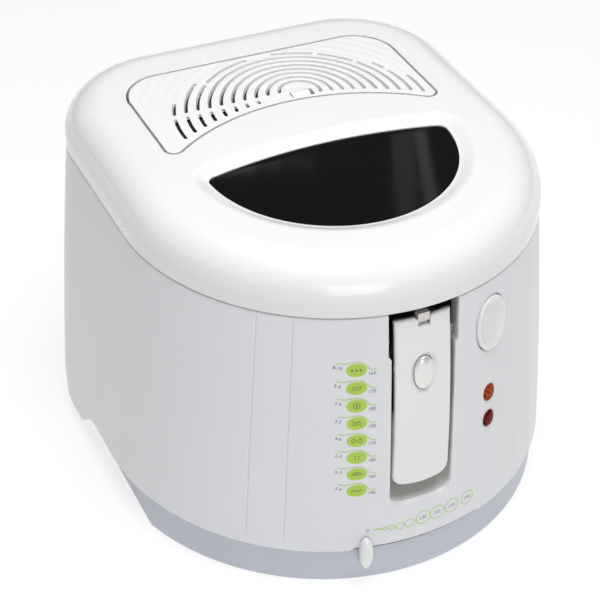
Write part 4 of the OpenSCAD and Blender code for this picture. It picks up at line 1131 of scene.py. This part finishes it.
# finishes of the CAD nodes that stay in view
finishes = {
    # the base pan takes the same painted shade grey as the base ring
    "base_painted_shade_grey": ["base_pan"],
    "rubber": ["rubber_feet", "window_seal"],
    "bowl_coating": ["oil_bowl"],
    "cast_aluminium": ["heating_ring"],
    "sheet_steel": ["heat_shield"],
    "heat_moulding": ["thermostat", "thermal_cutout", "terminal_block"],
    "black_plastic": ["cord_gland"],
    "zinc_steel": ["base_screws", "handle_bracket", "handle_pin", "hinge_pin", "hinge_screws", "collar_screws",
                   "liner_screws", "latch_hook", "button_spring", "handle_button_spring", "slider_arm",
                   "thermostat_spindle"],
    "inner_white": ["top_collar", "lamp_holder", "button_housing", "lid_liner", "lid_catch"],
    "body_white": ["hinge_bracket"],
    "lid_white": ["hinge_leaf"],
    "silicone": ["lid_gasket"],
    "bulb_glass": ["neon_bulbs"],
    "filter_mesh": ["grease_filter"],
    "carbon_felt": ["carbon_filter"],
    "dark_steel": ["handle_frame"],
    "clear_catch": ["handle_catch"],
    "plated_wire": ["basket", "basket_lift_arms"],
    "pearl_metal": ["handle_button"],
    "button_white": ["release_button", "slider_knob", "handle_cover"],
}
for key, names in finishes.items():
    for name in names:
        obj = nodes[name]
        obj.data.materials.clear()
        obj.data.materials.append(look[key])

# camera, lights, floor
view = {"place": (-424.39, -830.59, 818.07), "aim": (0.3520, 0.7142, -0.6050), "roll": 1.775,
        "focal": 1773.89 / 600 * 36}
cameraData = bpy.data.cameras.new("camera")
cameraData.lens = view["focal"]
cameraData.sensor_width = 36
cameraData.clip_end = 20
camera = addObject("camera", cameraData)
aim = Vector(view["aim"]).normalized()
right = aim.cross(Vector((0, 0, 1))).normalized()
up = right.cross(aim)
roll = math.radians(view["roll"])
xAxis = right * math.cos(roll) + up * math.sin(roll)
yAxis = up * math.cos(roll) - right * math.sin(roll)
spin = Matrix((xAxis, yAxis, -aim)).transposed()
place = Vector(view["place"]) / 1000 + Vector((0, arcY / 1000, 0))
camera.matrix_world = Matrix.Translation(place) @ spin.to_4x4()
scene.camera = camera


def areaLight(name, place, target, size, power):
    data = bpy.data.lights.new(name, "AREA")
    data.shape = "RECTANGLE"
    data.size, data.size_y = size
    data.energy = power
    obj = addObject(name, data)
    obj.location = place
    obj.rotation_euler = (Vector(target) - Vector(place)).to_track_quat("-Z", "Y").to_euler()
    return obj


areaLight("top_softbox", (0, -0.15, 1.5), (0, 0, 0.1), (1.0, 1.0), 21.5)
areaLight("front_fill", (-0.3, -1.7, 0.7), (0, 0, 0.12), (0.9, 0.9), 6)

# dim strips far behind, seen only as streaks and a soft wedge in the dark glass
for name, place, size, power, lean in (("streak_narrow", (0.624, 0.9, 0.955), (0.017, 0.17), 0.0042, 14),
                                       ("streak_wide", (0.587, 0.9, 0.95), (0.03, 0.17), 0.0034, 8),
                                       ("wedge_near", (0.32, 0.9, 0.858), (0.06, 0.026), 0.0011, -8),
                                       ("wedge_mid", (0.335, 0.9, 0.857), (0.10, 0.022), 0.0012, -8),
                                       ("wedge_far", (0.36, 0.9, 0.855), (0.15, 0.018), 0.0013, -8)):
    strip = areaLight(name, (place[0], place[1] + arcY / 1000, place[2]), (0.05, 0, 0.226), size, power)
    strip.rotation_euler.rotate_axis("Z", math.radians(lean))

world = bpy.data.worlds.new("studio")
scene.world = world
world.use_nodes = True
wire(world.node_tree, world.node_tree.nodes["Background"], {"Color": (1, 1, 1, 1), "Strength": 0.08}, {})

floorMesh = bpy.data.meshes.new("floor")
floorMesh.from_pydata([(-4, -4, 0), (4, -4, 0), (4, 4, 0), (-4, 4, 0)], [], [(0, 1, 2, 3)])
floor = addObject("floor", floorMesh)
surface("floor_pale", (0.3, 0.3, 0.3), 0.7, 60, 0, 0.004, **{"Emission Color": (1, 1, 1, 1), "Emission Strength": 0.75})
floorMesh.materials.append(look["floor_pale"])
floor.location.z = -0.0002

scene.view_settings.view_transform = "Standard"
scene.view_settings.look = "None"
print("camera, lights and floor set")
